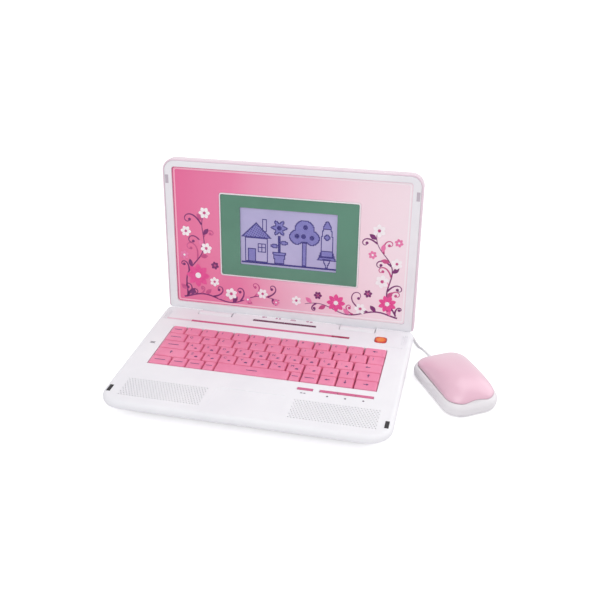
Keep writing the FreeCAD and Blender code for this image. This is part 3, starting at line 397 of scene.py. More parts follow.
def coilRoute():
    # radius drawn in and out by quarter turns, height a smooth step between the third and fifth quarter
    radii = np.array(cordSet["coilRadii"])
    q = np.linspace(0, len(radii) - 1, (len(radii) - 1) * cordSet["perQuarter"] + 1)
    r = np.interp(q, np.arange(len(radii)), radii) / math.cos(math.pi / 4 / cordSet["perQuarter"])
    s = np.clip((q - 3.5) / 2.0, 0, 1)
    a = math.pi - q * math.pi / 2
    z = cordSet["coilLow"] + (cordSet["coilHigh"] - cordSet["coilLow"]) * s * s * (3 - 2 * s)
    return np.column_stack([cordSet["coilCentre"][0] + r * np.cos(a), cordSet["coilCentre"][1] + r * np.sin(a), z])


def smoothPath(route):
    # points of an open spline that has the route as its control points
    curve = bpy.data.curves.new("cordRoute", "CURVE")
    curve.dimensions = "3D"
    spline = curve.splines.new("NURBS")
    spline.points.add(len(route) - 1)
    spline.points.foreach_set("co", np.column_stack([np.asarray(route, float) * mm, np.ones(len(route))]).ravel())
    spline.order_u = 3
    spline.use_endpoint_u = True
    spline.resolution_u = 6
    holder = bpy.data.objects.new("cordRoute", curve)
    line = bpy.data.meshes.new_from_object(holder)
    pts = np.empty(len(line.vertices) * 3)
    line.vertices.foreach_get("co", pts)
    bpy.data.objects.remove(holder)
    bpy.data.curves.remove(curve)
    bpy.data.meshes.remove(line)
    return pts.reshape(-1, 3)


def tubeAlong(path, radius, around):
    # a circle carried along the path, kept upright, with its two ends drawn in to a point
    run = np.gradient(path, axis=0)
    run /= np.linalg.norm(run, axis=1)[:, None]
    side = np.cross(run, (0, 0, 1))
    side /= np.linalg.norm(side, axis=1)[:, None]
    lift = np.cross(side, run)
    radii = np.full(len(path), radius)
    spine = np.concatenate([path[:1], path, path[-1:]])
    side, lift = [np.concatenate([v[:1], v, v[-1:]]) for v in (side, lift)]
    radii = np.concatenate([[0], radii, [0]])
    a = np.linspace(0, 2 * math.pi, around, endpoint=False)
    ring = side[:, None] * np.cos(a)[None, :, None] + lift[:, None] * np.sin(a)[None, :, None]
    return spine[:, None] + ring * radii[:, None, None]


cordPath = smoothPath(np.concatenate([cordSet["out"], coilRoute(), cordSet["lead"]]))
tube = tubeAlong(cordPath / mm, cordSet["radius"], cordSet["around"])
cord = makePiece("mouseCord", tube, gridFaces(*tube.shape[:2]), finishes["cord_grey"], None, "cord_grey", weld=True)
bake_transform(cord)
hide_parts("cord_to_coil", "cord_coil", "cord_to_mouse")
cordLength = float(np.linalg.norm(np.diff(cordPath, axis=0), axis=1).sum())
print("stage: cord", round(cordLength, 4), "m")

tieSet = {"inner": (83.9, 88.4, 0.75, 7.6), "thick": 0.6, "y": (132.2, 135.8), "round": 1.2, "soft": 0.25}


def tieBand():
    # rounded loop round the turns, carried along Y, with soft edges
    x0, x1, z0, z1 = tieSet["inner"]
    y0, y1 = tieSet["y"]
    thick, soft = tieSet["thick"], tieSet["soft"]
    rings = []
    for grow, y in ((0.0, y0), (thick - soft, y0), (thick, y0 + soft), (thick, y1 - soft), (thick - soft, y1),
                    (0.0, y1)):
        loop = roundRect(x0 - grow, x1 + grow, z0 - grow, z1 + grow, tieSet["round"] + grow)
        rings.append(np.column_stack([loop[:, 0], np.full(len(loop), y), loop[:, 1]]))
    return np.stack(rings)


band = tieBand()
tie = makePiece("cordTie", band, gridFaces(*band.shape[:2], wrap=True), finishes["tie_dark"], "base", "tie_dark",
                weld=True)
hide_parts("cord_tie")


# keys: rounded caps with a shallow dish

keySet = {"left": -121.5, "rear": 52.8, "pitch": 18.43, "rowPitch": 15.4, "top": 27.2, "dish": 0.12,
          "rows": ((0.93,) + (1.0,) * 11 + (1.32,), (1.26,) + (1.0,) * 11 + (0.99,), (1.60,) + (1.0,) * 10 + (1.65,),
                   (1.925,) + (1.0,) * 10 + (1.325,), (1.25, 1.0, 1.0, 0.7, 4.33, 0.66, 1.0, 1.0, 1.0, 1.31)),
          "single": {(0, 12): "backspace_key", (2, 11): "enter_key", (3, 0): "left_shift_key",
                     (3, 10): "arrow_up_key", (3, 11): "right_shift_key", (4, 4): "space_bar",
                     (4, 7): "arrow_left_key", (4, 8): "arrow_down_key", (4, 9): "arrow_right_key"},
          "edge": (  # set in across, set in along, height, corner radius
              (0.45, 0.45, 22.6, 0.9), (0.65, 0.5, 25.0, 1.0), (0.95, 0.65, 26.0, 1.1), (1.3, 0.8, 26.6, 1.2),
              (1.65, 1.0, 26.95, 1.3), (1.95, 1.25, 27.12, 1.4), (2.3, 1.5, 27.2, 1.5)),
          "topShares": (0.8, 0.5, 0.2, 0.0)}

keyCells = {}
for row, widths in enumerate(keySet["rows"]):
    stops = keySet["left"] + np.concatenate([[0], np.cumsum(widths)]) * keySet["pitch"]
    y1 = keySet["rear"] - row * keySet["rowPitch"]
    for column in range(len(widths)):
        owner = keySet["single"].get((row, column), "key_row_" + str(row + 1))
        keyCells.setdefault(owner, []).append(((row, column), (stops[column], stops[column + 1],
                                                               y1 - keySet["rowPitch"], y1)))


def keyCaps(cells):
    # stacked rounded rectangles, each set in from the cell, then the top shrunk to its centre and dished
    x0, x1, y0, y1 = np.array(cells, float).T
    rings = []
    for across, along, z, corner in keySet["edge"]:
        loop = roundRect(x0 + across, x1 - across, y0 + along, y1 - along, np.full(len(x0), corner), 4)
        rings.append(np.concatenate([loop, np.full(loop.shape[:2] + (1,), z)], -1))
    rim = rings[-1]
    centre = np.stack([(x0 + x1) / 2, (y0 + y1) / 2, np.full(len(x0), keySet["top"])], -1)[:, None]
    for share in keySet["topShares"]:
        ring = centre + (rim - centre) * share
        ring[..., 2] -= keySet["dish"] * (1 - share ** 2)
        rings.append(ring)
    caps = np.stack(rings, 1)
    count, levels, around = caps.shape[:3]
    faces = repeatFaces(gridFaces(levels, around), count, levels * around)
    return caps, faces


for owner, cells in keyCells.items():
    caps, faces = keyCaps([cell for place, cell in cells])
    piece = makePiece(owner + "_cap", caps, faces, finishes["key_pink"], owner, "key_pink", weld=True)
    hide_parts(owner)
print("stage: key caps", sum(len(c) for c in keyCells.values()))


# legends: plain letters, figures and signs printed on the caps

legendSet = {"size": 4.8, "lift": 0.02, "bar": (0.27, 0.45), "letterAt": (0.33, 1.9), "markAt": (0.63, -2.5),
             "barMost": 22.0, "arrowUp": 0.6, "signRows": (2, 3),
             "letters": {0: " 1234567890-", 1: " QWERTYUIOP[]", 2: " ASDFGHJKL;", 3: " ZXCVBNM,."}}
arrowShape = np.array([(-2.6, -0.45), (0.4, -0.45), (0.4, -1.7), (2.8, 0.0), (0.4, 1.7), (0.4, 0.45), (-2.6, 0.45)])
arrowTurn = {"arrow_up_key": 90, "arrow_left_key": 180, "arrow_down_key": 270, "arrow_right_key": 0,
             "left_shift_key": 90, "right_shift_key": 90, "backspace_key": 180, "enter_key": 180}


def letterShape(text):
    # the built-in letter shapes as flat points and faces, centred on zero
    curve = bpy.data.curves.new("legendCurve", "FONT")
    curve.body = text
    curve.size = legendSet["size"]
    curve.align_x = "CENTER"
    curve.align_y = "CENTER"
    curve.resolution_u = 3
    holder = bpy.data.objects.new("legendHolder", curve)
    mesh = bpy.data.meshes.new_from_object(holder)
    pts = np.empty(len(mesh.vertices) * 3)
    mesh.vertices.foreach_get("co", pts)
    faces = [list(p.vertices) for p in mesh.polygons]
    bpy.data.objects.remove(holder)
    bpy.data.curves.remove(curve)
    bpy.data.meshes.remove(mesh)
    return pts.reshape(-1, 3)[:, :2], faces


def turned(shape, degrees):
    a = math.radians(degrees)
    return shape @ np.array([[math.cos(a), math.sin(a)], [-math.sin(a), math.cos(a)]])


markShapes = (np.array([(-1.9, 0), (0, -1.2), (1.9, 0), (0, 1.2)]),
              np.array([(-1.7, -1.1), (1.7, -1.1), (1.7, 0.3), (0, 1.3), (-1.7, 0.3)]),
              np.array([(-2.0, -1.0), (0.2, -1.0), (2.0, 0.9), (-0.8, 1.2)]))


def keyMarks(owner, row, column, x0, x1, y0, y1):
    # flat shapes of one key with their faces: an arrow, a bar, or a letter with a small sign below it
    width, yMid = x1 - x0, (y0 + y1) / 2
    if owner in arrowTurn:
        shape = turned(arrowShape, arrowTurn[owner]) + ((x0 + x1) / 2, yMid + legendSet["arrowUp"])
        return [(shape, [list(range(len(shape)))])]
    line = legendSet["letters"].get(row, "")
    sign = line[column] if column < len(line) else " "
    if sign == " ":
        half = np.array([legendSet["bar"][0] * min(width, legendSet["barMost"]), legendSet["bar"][1]])
        return [(np.array([(-1, -1), (1, -1), (1, 1), (-1, 1)]) * half + ((x0 + x1) / 2, yMid), [[0, 1, 2, 3]])]
    shape, faces = letterShape(sign)
    share, up = legendSet["letterAt"]
    marks = [(shape + (x0 + share * width, yMid + up), faces)]
    if row in legendSet["signRows"]:
        shape = markShapes[(row + column) % 3]
        share, up = legendSet["markAt"]
        marks.append((shape + (x0 + share * width, yMid + up), [list(range(len(shape)))]))
    return marks


for owner, cells in keyCells.items():
    allPoints, allFaces, start = [], [], 0
    for (row, column), cell in cells:
        for shape, faces in keyMarks(owner, row, column, *cell):
            allPoints.append(np.column_stack([shape, np.full(len(shape), keySet["top"] + legendSet["lift"])]))
            allFaces += [[i + start for i in face] for face in faces]
            start += len(shape)
    makePiece(owner + "_legend", np.concatenate(allPoints), allFaces, inks["legend"], owner, "key_pink",
              smooth=False)
print("stage: legends")


# deck prints

deckSet = {"z": 26.0, "lift": 0.05, "round": 4.9, "roundFrom": 93.6, "iconY": 94.0,
           "icons": (  # place across, discs as shift and radius, bars as left, right, low, high
               (-26.9, ((0.0, 2.1),), ((2.6, 3.5, -2.0, 2.0),)),
               (-9.4, (), ((-3.0, -0.8, -2.1, 2.1), (0.8, 3.0, -2.1, 2.1))),
               (8.4, (), ((-3.2, 3.2, -2.1, -1.0), (-3.2, 3.2, -0.4, 0.7), (-3.2, 1.0, 1.3, 2.2))),
               (27.3, ((-2.0, 1.8), (2.0, 1.8)), ())),
           "dots": (76.4, 94.4, 112.4), "dotY": -42.6, "dotRadius": 1.1,
           "bars": ((49.0, 51.4, -42.6, -41.4), (52.2, 54.4, -42.6, -41.4), (-134.6, -128.6, 16.15, 16.9),
                    (-134.6, -128.6, 13.9, 14.65)),
           "paleStrip": (-136.0, -106.6, 67.3, 70.3)}


def onDeck(flat):
    # flat points laid on the deck, which rounds down by a quarter circle along its rear edge
    over = np.clip(flat[..., 1] - deckSet["roundFrom"], 0, 0.98 * deckSet["round"])
    z = deckSet["z"] + deckSet["lift"] - deckSet["round"] + np.sqrt(deckSet["round"] ** 2 - over ** 2)
    return np.concatenate([flat, z[..., None]], -1)


def discGrid(x, y, radius, turns=16, rings=3):
    # filled circle as rings shrunk to the middle
    a = np.linspace(0, 2 * math.pi, turns, endpoint=False)
    r = np.linspace(radius, 0.0, rings)[:, None]
    return np.stack([x + r * np.cos(a), y + r * np.sin(a)], -1)


def stripGrid(x0, x1, y0, y1, cols=8, rows=4):
    xs, ys = np.linspace(x0, x1, cols), np.linspace(y0, y1, rows)
    return np.stack(np.meshgrid(xs, ys), -1)


def patchPiece(name, grids, loops, ink, body, slot, place):
    # several flat grids joined in one printed piece
    points, faces, start = [], [], 0
    for grid, loop in zip(grids, loops):
        points.append(place(grid).reshape(-1, 3))
        faces.append(gridFaces(grid.shape[0], grid.shape[1], loop) + start)
        start += grid.shape[0] * grid.shape[1]
    return makePiece(name, np.concatenate(points), np.concatenate(faces), ink, body, slot, smooth=False, weld=False)


iconGrids, iconLoops = [], []
for x, discs, bars in deckSet["icons"]:
    y = deckSet["iconY"]
    iconGrids += [discGrid(x + shift, y, radius) for shift, radius in discs]
    iconGrids += [stripGrid(x + x0, x + x1, y + y0, y + y1) for x0, x1, y0, y1 in bars]
    iconLoops += [True] * len(discs) + [False] * len(bars)
patchPiece("deckIcons", iconGrids, iconLoops, inks["iconMauve"], "base", "case_white", onDeck)

dots = [discGrid(x, deckSet["dotY"], deckSet["dotRadius"]) for x in deckSet["dots"]]
bars = [stripGrid(*bar) for bar in deckSet["bars"]]
markLoops = [True] * len(dots) + [False] * len(bars)
patchPiece("optionMarks", dots + bars, markLoops, inks["markDark"], "base", "case_white", onDeck)
patchPiece("paleStrip", [stripGrid(*deckSet["paleStrip"])], [False], inks["paleStrip"], "base", "case_white", onDeck)
print("stage: deck prints")


# lid: mask, display picture, printed border and garland

lidSet = {"axis": (0.0, 90.0, 19.3), "lean": 83.17, "offset": 7.4, "panelFace": 2.2, "panel": (134.2, 14.1, 175.1),
          "mask": (78.45, 52.9, 147.4), "display": (-56.3, 54.8, 66.6, 133.8), "maskFace": 2.6, "maskBack": 4.0,
          "maskEdge": 0.12, "maskRound": (1.6, 0.8)}


def onLid(flat, depth):
    # points given across and up the lid, set back from its front plane by depth
    a = math.radians(lidSet["lean"])
    x, t = flat[..., 0], flat[..., 1]
    z = np.broadcast_to(-lidSet["offset"] - np.asarray(depth, float), t.shape)
    return np.stack([x, lidSet["axis"][1] + t * math.cos(a) - z * math.sin(a),
                     lidSet["axis"][2] + t * math.sin(a) + z * math.cos(a)], -1)


def shrunk(box, by):  # a rounded rectangle drawn in on all sides, with its corner radius kept
    return box[0] + by, box[1] - by, box[2] + by, box[3] - by, box[4]


def ringPiece(name, outer, inner, front, back, edge, ink, slot):
    # flat frame between two rounded rectangles, with its edges eased
    levels = ((outer, back), (outer, front + edge), (shrunk(outer, edge), front), (shrunk(inner, -edge), front),
              (inner, front + edge), (inner, back))
    rings = np.stack([onLid(roundRect(*box), depth) for box, depth in levels])
    return makePiece(name, rings, gridFaces(*rings.shape[:2], wrap=True), ink, "lid", slot, smooth=False, weld=True)


mx, mLow, mHigh = lidSet["mask"]
dx0, dx1, dLow, dHigh = lidSet["display"]
outRound, inRound = lidSet["maskRound"]
mask = ringPiece("screenMask", (-mx, mx, mLow, mHigh, outRound), (dx0, dx1, dLow, dHigh, inRound),
                 lidSet["maskFace"], lidSet["maskBack"], lidSet["maskEdge"], finishes["window_green"], "window_green")
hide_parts("screen_window")

px, pLow, pHigh = lidSet["panel"]
face = lidSet["panelFace"]
borderSet = {"steps": ((0.0, 3.2), (1.1, 2.4), (2.9, 2.0)),  # inset, corner radius
             "front": 0.04, "back": 0.02, "edge": 0.01}
borders = [(-px + by, px - by, pLow + by, pHigh - by, radius) for by, radius in borderSet["steps"]]
for k, (name, ink) in enumerate((("panelEdgeLine", "edgeLine"), ("panelPaleLine", "paleLine"))):
    ringPiece(name, borders[k], borders[k + 1], face - borderSet["front"], face + borderSet["back"],
              borderSet["edge"], inks[ink], "panel_print")

displaySet = {"across": 104, "up": 63, "fill": 0.96, "face": 4.15}


def displayPicture():
    # four plain things in square cells, each an inequality on the cell grid: house, potted flower, tree, rocket
    c, r = np.meshgrid(np.arange(displaySet["across"]), np.arange(displaySet["up"]))

    def disc(x, y, radius, wide=1.0):
        return np.hypot((c - x) / wide, r - y) < radius

    def slab(x, half, low, high):
        return (np.abs(c - x) <= half) & (r >= low) & (r <= high)

    def edge(shape):  # cells of the shape that touch a cell outside it, also across a corner
        grown = np.pad(shape, 1)
        inner = shape.copy()
        for i, j in ((0, 1), (2, 1), (1, 0), (1, 2), (0, 0), (2, 2), (0, 2), (2, 0)):
            inner &= grown[i:i + shape.shape[0], j:j + shape.shape[1]]
        return shape & ~inner

    wall = slab(17, 12, 4, 30)
    roof = (np.abs(c - 17) <= 16 - (r - 31) * 0.95) & (r >= 31) & (r <= 47)
    chimney = slab(26, 2, 38, 51)
    door = slab(12, 4, 4, 18)
    pane = slab(23, 4, 15, 24)
    pot = (np.abs(c - 42) <= 5 + (r - 4) * 0.22) & (r >= 4) & (r <= 16)
    stalk = slab(42, 1, 17, 34)
    blades = disc(37, 23, 2.6, 1.8) | disc(47, 27, 2.6, 1.8)
    spread = np.hypot(c - 42, r - 43)
    petals = spread < 7.4 + 1.7 * np.cos(6 * np.arctan2(r - 43, c - 42))
    trunk = slab(69, 2, 4, 31)
    crown = disc(69, 43, 11) | disc(61, 35, 8.4) | disc(77, 35, 8.4) | disc(69, 35, 6)
    apples = disc(61, 36, 2.4) | disc(70, 46, 2.4) | disc(77, 35, 2.4) | disc(68, 36, 2.4)
    hull = (np.abs(c - 93) <= 6.6 * np.sqrt(np.clip(1 - ((r - 26) / 29.0) ** 2, 0, 1))) & (r >= 16) & (r <= 54)
    fins = (np.abs(c - 93) <= 10 - (r - 12) * 0.35) & (r >= 12) & (r <= 24) & ~hull
    flame = (np.abs(c - 93) <= 1 + (r - 4) * 0.4) & (r >= 4) & (r <= 13)
    port = disc(93, 37, 3.6)
    ground = slab(52, 51, 2, 3)
    dark = edge(wall) | edge(roof) | (roof & ((c + 2 * r) % 5 == 0)) | edge(chimney) | edge(door) | edge(pane)
    dark |= (pane & ((c == 23) | (r == 20))) | edge(pot) | (pot & (r == 13)) | stalk | edge(blades) | edge(petals)
    dark |= disc(42, 43, 2.6) | edge(trunk & ~crown) | edge(crown) | apples | edge(hull) | edge(fins) | edge(flame)
    dark |= edge(port) | (hull & (r == 46)) | (hull & (r == 22)) | ground
    tint = roof | door | pot | blades | petals | crown | fins | (hull & ((r > 46) | (r < 22))) | port | trunk
    return dark, tint & ~dark


def displayCells(picture):
    r, c = np.nonzero(picture)
    step = np.array([(dx1 - dx0) / displaySet["across"], (dHigh - dLow) / displaySet["up"]])
    low = np.array([dx0, dLow]) + np.column_stack([c, r]) * step
    corner = np.array([(0, 0), (1, 0), (1, 1), (0, 1)]) * displaySet["fill"]
    return onLid(low[:, None] + corner * step, displaySet["face"]), np.arange(4 * len(c)).reshape(-1, 4)


for name, ink, picture in zip(("displayLines", "displayTints"), ("pixel", "pixelMid"), displayPicture()):
    makePiece(name, *displayCells(picture), inks[ink], "lid", "display_lavender", smooth=False)
print("stage: display")

garlandSet = {
    "stems": (  # start, end, sway across, waves
        {"from": (-126, 20), "to": (-10, 27), "sway": 5.5, "waves": 1.5},
        {"from": (-122, 21), "to": (-97, 122), "sway": 7.0, "waves": 1.2},
        {"from": (126, 20), "to": (20, 26), "sway": -5.0, "waves": 1.4},
        {"from": (124, 22), "to": (100, 118), "sway": 7.0, "waves": 1.3}),
    "wide": 2.0, "leaf": (10.0, 2.6), "leavesPerStem": 7, "curlsPerStem": 7, "curl": (38.0, 2.3, 2.1), "berry": 1.7,
    "layers": {"stem": 0.02, "leaf": 0.03, "petal": 0.045, "eye": 0.06},
    "flowers": (  # place across and up, radius, petals, colour
        (-108, 48, 14.5, 8, "hotPink"), (56, 31, 11.0, 8, "hotPink"), (-68, 29, 7.5, 6, "white"),
        (-30, 33, 6.5, 6, "white"), (-97, 82, 7.0, 6, "white"), (-121, 101, 6.5, 6, "white"),
        (-98, 124, 7.0, 6, "white"), (-48, 24, 5.0, 6, "softPink"), (107, 62, 8.0, 6, "white"),
        (122, 84, 6.5, 6, "white"), (101, 120, 7.5, 6, "white"), (84, 27, 7.0, 6, "white"),
        (114, 36, 10.5, 8, "hotPink"), (35, 38, 5.0, 6, "plum"), (95, 92, 5.0, 6, "softPink"),
        (-87, 62, 5.0, 6, "plum"), (-124, 72, 5.5, 6, "softPink"), (10, 29, 6.0, 6, "white"),
        (-88, 42, 6.0, 6, "white"), (-14, 24, 4.5, 6, "softPink"), (123, 108, 5.0, 6, "softPink"),
        (92, 46, 5.0, 6, "plum")),
    "leafAngle": 48, "curlAngle": 30, "curlFree": 20, "flowerReach": 0.9, "margin": 4,
    "screenClear": (82, 49, 151)}  # half width, low and high of the area kept for the screen rim


def stemLine(stem, count=40):
    # straight from start to end, with a sine sway to the side that dies out at both ends
    u = np.linspace(0, 1, count)[:, None]
    a, b = np.array(stem["from"], float), np.array(stem["to"], float)
    side = np.array([-(b - a)[1], (b - a)[0]]) / np.linalg.norm(b - a)
    sway = stem["sway"] * np.sin(2 * math.pi * stem["waves"] * u) * np.sin(math.pi * u) ** 0.5
    return a + (b - a) * u + side * sway


def ribbonGrid(line, width):
    # the line widened to both sides, thinner toward its end
    run = np.gradient(line, axis=0)
    side = np.column_stack([-run[:, 1], run[:, 0]]) / np.linalg.norm(run, axis=1)[:, None]
    half = width / 2 * np.linspace(1.0, 0.35, len(line))[:, None]
    return np.stack([line + side * half, line - side * half], 1)


def curlLine(base, heading, length, bend, count=44):
    # a line of equal steps whose turning grows along it, so that it closes into a spiral
    u = np.linspace(0, 1, count)
    angle = math.radians(heading) + bend * (0.3 * u + 2.1 * u ** 3)
    step = np.column_stack([np.cos(angle), np.sin(angle)]) * length / count
    return np.asarray(base) + np.cumsum(step, axis=0)


def petalGrid(base, angle, length, width, blunt=0.7):
    # a petal from its base outward, its half width a sine raised to a power, fuller toward the tip
    u = np.linspace(0, 1, 9)
    half = width * np.sin(math.pi * u ** blunt)
    flat = np.stack([np.column_stack([u * length, half]), np.column_stack([u * length, -half])], 1)
    return np.asarray(base) + turned(flat.reshape(-1, 2), angle).reshape(flat.shape)


def fits(points):  # inside the printed border and clear of the screen rim
    x, t = np.abs(points[..., 0]), points[..., 1]
    margin, (half, low, high) = garlandSet["margin"], garlandSet["screenClear"]
    inside = (x < px - margin) & (t > pLow + margin) & (t < pHigh - margin)
    return bool(np.all(inside & ((x > half) | (t < low) | (t > high))))


def clearOfFlowers(points):  # no point lies within a flower's petals
    x, t, radius = np.array([flower[:3] for flower in garlandSet["flowers"]]).T
    away = np.hypot(points[:, None, 0] - x, points[:, None, 1] - t)
    return bool(np.all(away > radius * garlandSet["flowerReach"]))


prints = {}
for s, stem in enumerate(garlandSet["stems"]):
    line = stemLine(stem)
    prints.setdefault(("stem", "plum"), []).append(ribbonGrid(line, garlandSet["wide"]))
    heading = np.degrees(np.arctan2(*np.gradient(line, axis=0).T[::-1]))
    for k in range(garlandSet["leavesPerStem"]):
        i = int((k + 0.7) / garlandSet["leavesPerStem"] * (len(line) - 2))
        first = 1 if (k + s) % 2 else -1
        leaves = [petalGrid(line[i], heading[i] + garlandSet["leafAngle"] * side, *garlandSet["leaf"], 1.0)
                  for side in (first, -first)]
        ink = ("plum", "rose", "softPink")[(k + s) % 3]
        prints.setdefault(("leaf", ink), []).extend([leaf for leaf in leaves if fits(leaf)][:1])
    for k in range(garlandSet["curlsPerStem"]):
        i = int((k + 0.35) / garlandSet["curlsPerStem"] * (len(line) - 2))
        length, bend, wide = garlandSet["curl"]
        first = 1 if (k + s) % 2 else -1
        ink = ("plum", "rose")[k % 2]
        curls = [curlLine(line[i], heading[i] + garlandSet["curlAngle"] * side, length * size, bend * side)
                 for size in (0.75 + 0.25 * ((k * 3 + s) % 3), 0.6, 0.45) for side in (first, -first)]
        free = [curl for curl in curls if fits(curl) and clearOfFlowers(curl[garlandSet["curlFree"]:])]
        for curl in free[:1]:
            prints.setdefault(("stem", ink), []).append(ribbonGrid(curl, wide))
            prints.setdefault(("eye", ink), []).append(discGrid(curl[-1, 0], curl[-1, 1], garlandSet["berry"]))
for x, t, radius, count, ink in garlandSet["flowers"]:
    for k in range(count):
        angle = 360.0 * k / count + 11.0 * (x % 7)
        prints.setdefault(("petal", ink), []).append(
            petalGrid((x, t), angle, radius, radius * math.pi / count * 0.62, 1.55))
    eye = "white" if ink in ("hotPink", "softPink") else "rose"
    prints.setdefault(("eye", eye), []).append(discGrid(x, t, radius * 0.24))
for (layer, ink), grids in prints.items():
    depth = face - garlandSet["layers"][layer]
    loops = [layer == "eye"] * len(grids)
    patchPiece("garland_" + layer + "_" + ink, grids, loops, inks[ink], "lid", "panel_print",
               lambda grid, depth=depth: onLid(grid, depth))
print("stage: lid prints")


# mouse: smooth shells, with the hump toward the palm

mouseSet = {"centre": (196.8, 32.5), "heading": 121.9, "half": (47.6, 30.2), "corner": (19.8, 16.2), "floor": 0.8,
            "foot": (6.5, 3.2), "waist": 9.0, "seam": 15.2, "shoulder": 3.6, "top": 31.4, "powers": (1.9, 1.75, 2.1),
            "crown": -15.0, "dome": (2.6, 0.95), "gap": (0.3, 1.0), "arch": (1.9, 13.0),
            "perCorner": 14, "perSide": 9, "lens": (-2.0, 12.0, -5.0, 5.0), "archFrom": (-30.0, 8.0),
            "cornerGrowth": 6.0, "lip": (1.9, 1.6)}


def parkMouse(pts):
    a = math.radians(mouseSet["heading"])
    flat = pts[..., :2] @ np.array([[math.cos(a), math.sin(a)], [-math.sin(a), math.cos(a)]])
    return np.concatenate([flat + mouseSet["centre"], pts[..., 2:]], -1)


# stations round the plan: each lies between two corner points, given as corner number and angle
turn = np.linspace(0, math.pi / 2, mouseSet["perCorner"])
mix = np.linspace(0, 1, mouseSet["perSide"] + 2)[1:-1]
cornerA, angleA, cornerB, angleB, share = [np.concatenate(v) for v in zip(*[
    (np.full(len(turn) + len(mix), k),
     np.concatenate([turn + k * math.pi / 2, np.full(len(mix), (k + 1) * math.pi / 2)]),
     np.concatenate([np.full(len(turn), k), np.full(len(mix), (k + 1) % 4)]),
     np.concatenate([turn + k * math.pi / 2, np.full(len(mix), (k + 1) * math.pi / 2)]),
     np.concatenate([np.zeros(len(turn)), mix])) for k in range(4)])]


def mouseRing(z, inset=0.0):
    # rounded plan at height z: foot and shoulder draw in by power curves; above the seam the palm end, the nose end
    # and the sides shrink toward the crown by powers of their own, and the plan turns into a superellipse
    z = np.broadcast_to(np.asarray(z, float), share.shape)
    footTop, footIn = mouseSet["foot"]
    low = np.clip((footTop - z) / (footTop - mouseSet["floor"]), 0, 1)
    high = np.clip((z - mouseSet["waist"]) / (mouseSet["seam"] - mouseSet["waist"]), 0, 1)
    less = footIn * (1 - np.sqrt(1 - low ** 2)) + mouseSet["shoulder"] * high ** 1.8 + inset
    rise = np.clip((z - mouseSet["seam"]) / (mouseSet["top"] - mouseSet["seam"]), 0, 1)
    toPalm, toNose, toSide = [(1 - rise ** p) ** (1 / p) for p in mouseSet["powers"]]
    a, b = mouseSet["half"][0] - less, mouseSet["half"][1] - less
    middle = mouseSet["crown"]
    u0 = middle - (a + middle) * toPalm
    u1 = middle + (a - middle) * toNose
    wide = b * toSide
    limit = 0.96 * np.minimum(wide, (u1 - u0) / 2)
    grown = mouseSet["cornerGrowth"] * rise - less
    palmRound, noseRound = [np.minimum(r + grown, limit) for r in mouseSet["corner"]]

    def cornerPoint(k, angle):
        atPalm = (k == 1) | (k == 2)
        r = np.where(atPalm, palmRound, noseRound)
        u = np.where(atPalm, u0 + r, u1 - r) + r * np.cos(angle)
        return np.stack([u, np.where(k < 2, wide - r, r - wide) + r * np.sin(angle), z], -1)

    ring = cornerPoint(cornerA, angleA) * (1 - share[:, None]) + cornerPoint(cornerB, angleB) * share[:, None]
    mid, half = (u0 + u1) / 2, np.maximum((u1 - u0) / 2, 1e-6)
    n, soft = mouseSet["dome"]
    size = (np.abs((ring[:, 0] - mid) / half) ** n + np.abs(ring[:, 1] / np.maximum(wide, 1e-6)) ** n) ** (1 / n)
    blend = np.clip(rise / soft, 0, 1)
    blend = blend * blend * (3 - 2 * blend)
    keep = 1 - blend + blend / np.maximum(size, 1e-6)
    return np.column_stack([mid + (ring[:, 0] - mid) * keep, ring[:, 1] * keep, ring[:, 2]])


def seamLine():
    # level all round, with a low arch at the palm end
    rim = mouseRing(mouseSet["seam"])
    start, span = mouseSet["archFrom"]
    atPalm = np.clip((start - rim[:, 0]) / span, 0, 1)
    bow = np.clip(1 - (rim[:, 1] / mouseSet["arch"][1]) ** 2, 0, 1)
    return mouseSet["seam"] + mouseSet["arch"][0] * atPalm * bow ** 1.5, rim[:, 0] / mouseSet["half"][0]


def mouseTop():
    # dome from the seam to the crown, with a lip turned in below
    low, along = seamLine()
    deep, shallow = mouseSet["lip"]
    rings = [mouseRing(low + 4.0, deep), mouseRing(low + 0.05, shallow), mouseRing(low, 0.5),
             mouseRing(low + 0.3, 0.08)]
    for f in np.linspace(0.04, 1.0, 30):
        rings.append(mouseRing(low + (mouseSet["top"] - low) * (1 - (1 - f) ** 1.9)))
    return np.stack(rings)


def mouseBottom():
    # lip under the seam, shoulder, upright side, rounded foot, then the floor drawn in to the lens opening
    low, along = seamLine()
    tail, nose = mouseSet["gap"]
    high = low - (tail + (nose - tail) * (along + 1) / 2)
    deep, shallow = mouseSet["lip"]
    waist, floorZ = mouseSet["waist"], mouseSet["floor"]
    rings = [mouseRing(high - 3.5, deep), mouseRing(high - 0.05, shallow), mouseRing(high, 0.6),
             mouseRing(high - 0.3, 0.05)]
    for f in np.linspace(0.1, 1.0, 12):
        rings.append(mouseRing(high - 0.3 + (waist - high + 0.3) * f))
    for f in np.linspace(0.12, 1.0, 12):
        rings.append(mouseRing(waist + (floorZ - waist) * math.sin(f * math.pi / 2)))
    x0, x1, y0, y1 = mouseSet["lens"]
    edge = rings[-1]
    window = np.column_stack([np.clip(edge[:, 0] * 2, x0, x1), np.clip(edge[:, 1] * 2, y0, y1)])
    for f in (0.35, 0.7, 1.0):
        flat = edge[:, :2] * (1 - f) + window * f
        rings.append(np.column_stack([flat, np.full(len(flat), floorZ)]))
    rings.append(np.column_stack([window, np.full(len(window), floorZ + 2.0)]))
    return np.stack(rings)


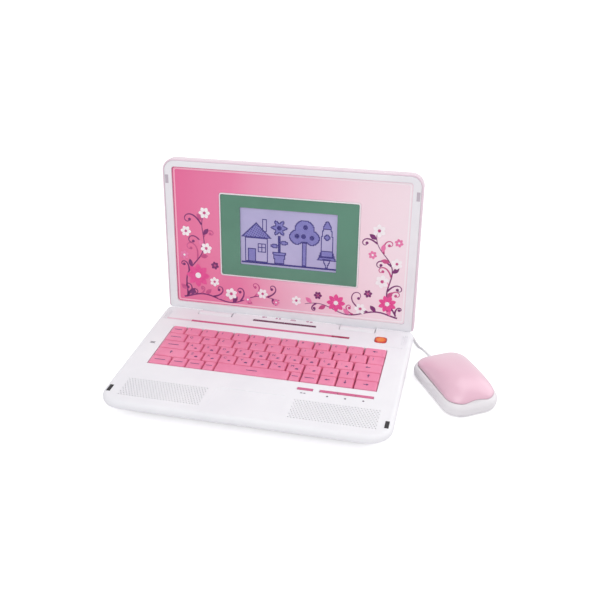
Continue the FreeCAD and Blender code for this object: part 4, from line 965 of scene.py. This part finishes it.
for name, rings, body, slot, node in (("mouseTop", mouseTop(), "mouse_button", "mouse_pink", "mouse_top_shell"),
                                      ("mouseBottom", mouseBottom(), "mouse", "mouse_white", "mouse_bottom_shell")):
    shell = makePiece(name, parkMouse(rings), gridFaces(*rings.shape[:2]), finishes[slot], body, slot, weld=True)
    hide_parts(node)
print("stage: mouse")


# cord reliefs with moulded ribs

reliefSet = {"ribs": 5, "depth": 0.35, "around": 24, "steps": 41,
             "mouse": ((42.8, 0), (42.8, 2.4), (48.1, 2.4), (48.1, 3.3), (49.8, 3.3), (50.6, 2.9), (58.6, 2.0)),
             "gland": ((92.4, 0), (92.4, 2.5), (97.6, 2.5), (97.6, 3.4), (99.4, 3.4), (100.2, 2.9), (108.0, 2.0)),
             "mouseUp": 6.0, "glandAt": (52.0, 6.5)}


def ribbedSleeve(profile):
    # turned profile of distance and radius, with a cosine ripple along its taper
    d, r = np.array(profile, float).T
    steps = reliefSet["steps"]
    along = np.concatenate([d[:-2], np.linspace(d[-2], d[-1], steps)])
    radius = np.concatenate([r[:-2], np.linspace(r[-2], r[-1], steps)])
    ripple = np.zeros(len(along))
    ripple[-steps:] = reliefSet["depth"] * (np.cos(np.linspace(0, 2 * math.pi * reliefSet["ribs"], steps)) - 1) / 2
    along, radius = np.append(along, along[-1]), np.append(radius + ripple, 0.0)
    a = np.linspace(0, 2 * math.pi, reliefSet["around"], endpoint=False)
    across, up = radius[:, None] * np.cos(a), radius[:, None] * np.sin(a)
    return np.stack(np.broadcast_arrays(along[:, None], across, up), -1)


sleeve = ribbedSleeve(reliefSet["mouse"])
sleeve[..., 2] += reliefSet["mouseUp"]
relief = makePiece("mouseRelief", parkMouse(sleeve), gridFaces(*sleeve.shape[:2]), finishes["cord_grey"], "mouse",
                   "cord_grey", weld=True)
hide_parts("mouse_strain_relief")
glandX, glandZ = reliefSet["glandAt"]
sleeve = ribbedSleeve(reliefSet["gland"])
sleeve = np.stack([glandX + sleeve[..., 1], sleeve[..., 0], glandZ + sleeve[..., 2]], -1)
gland = makePiece("cordGland", sleeve, gridFaces(*sleeve.shape[:2]), finishes["cord_grey"], "base", "cord_grey",
                  weld=True)
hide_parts("cord_gland")
print("stage: reliefs")
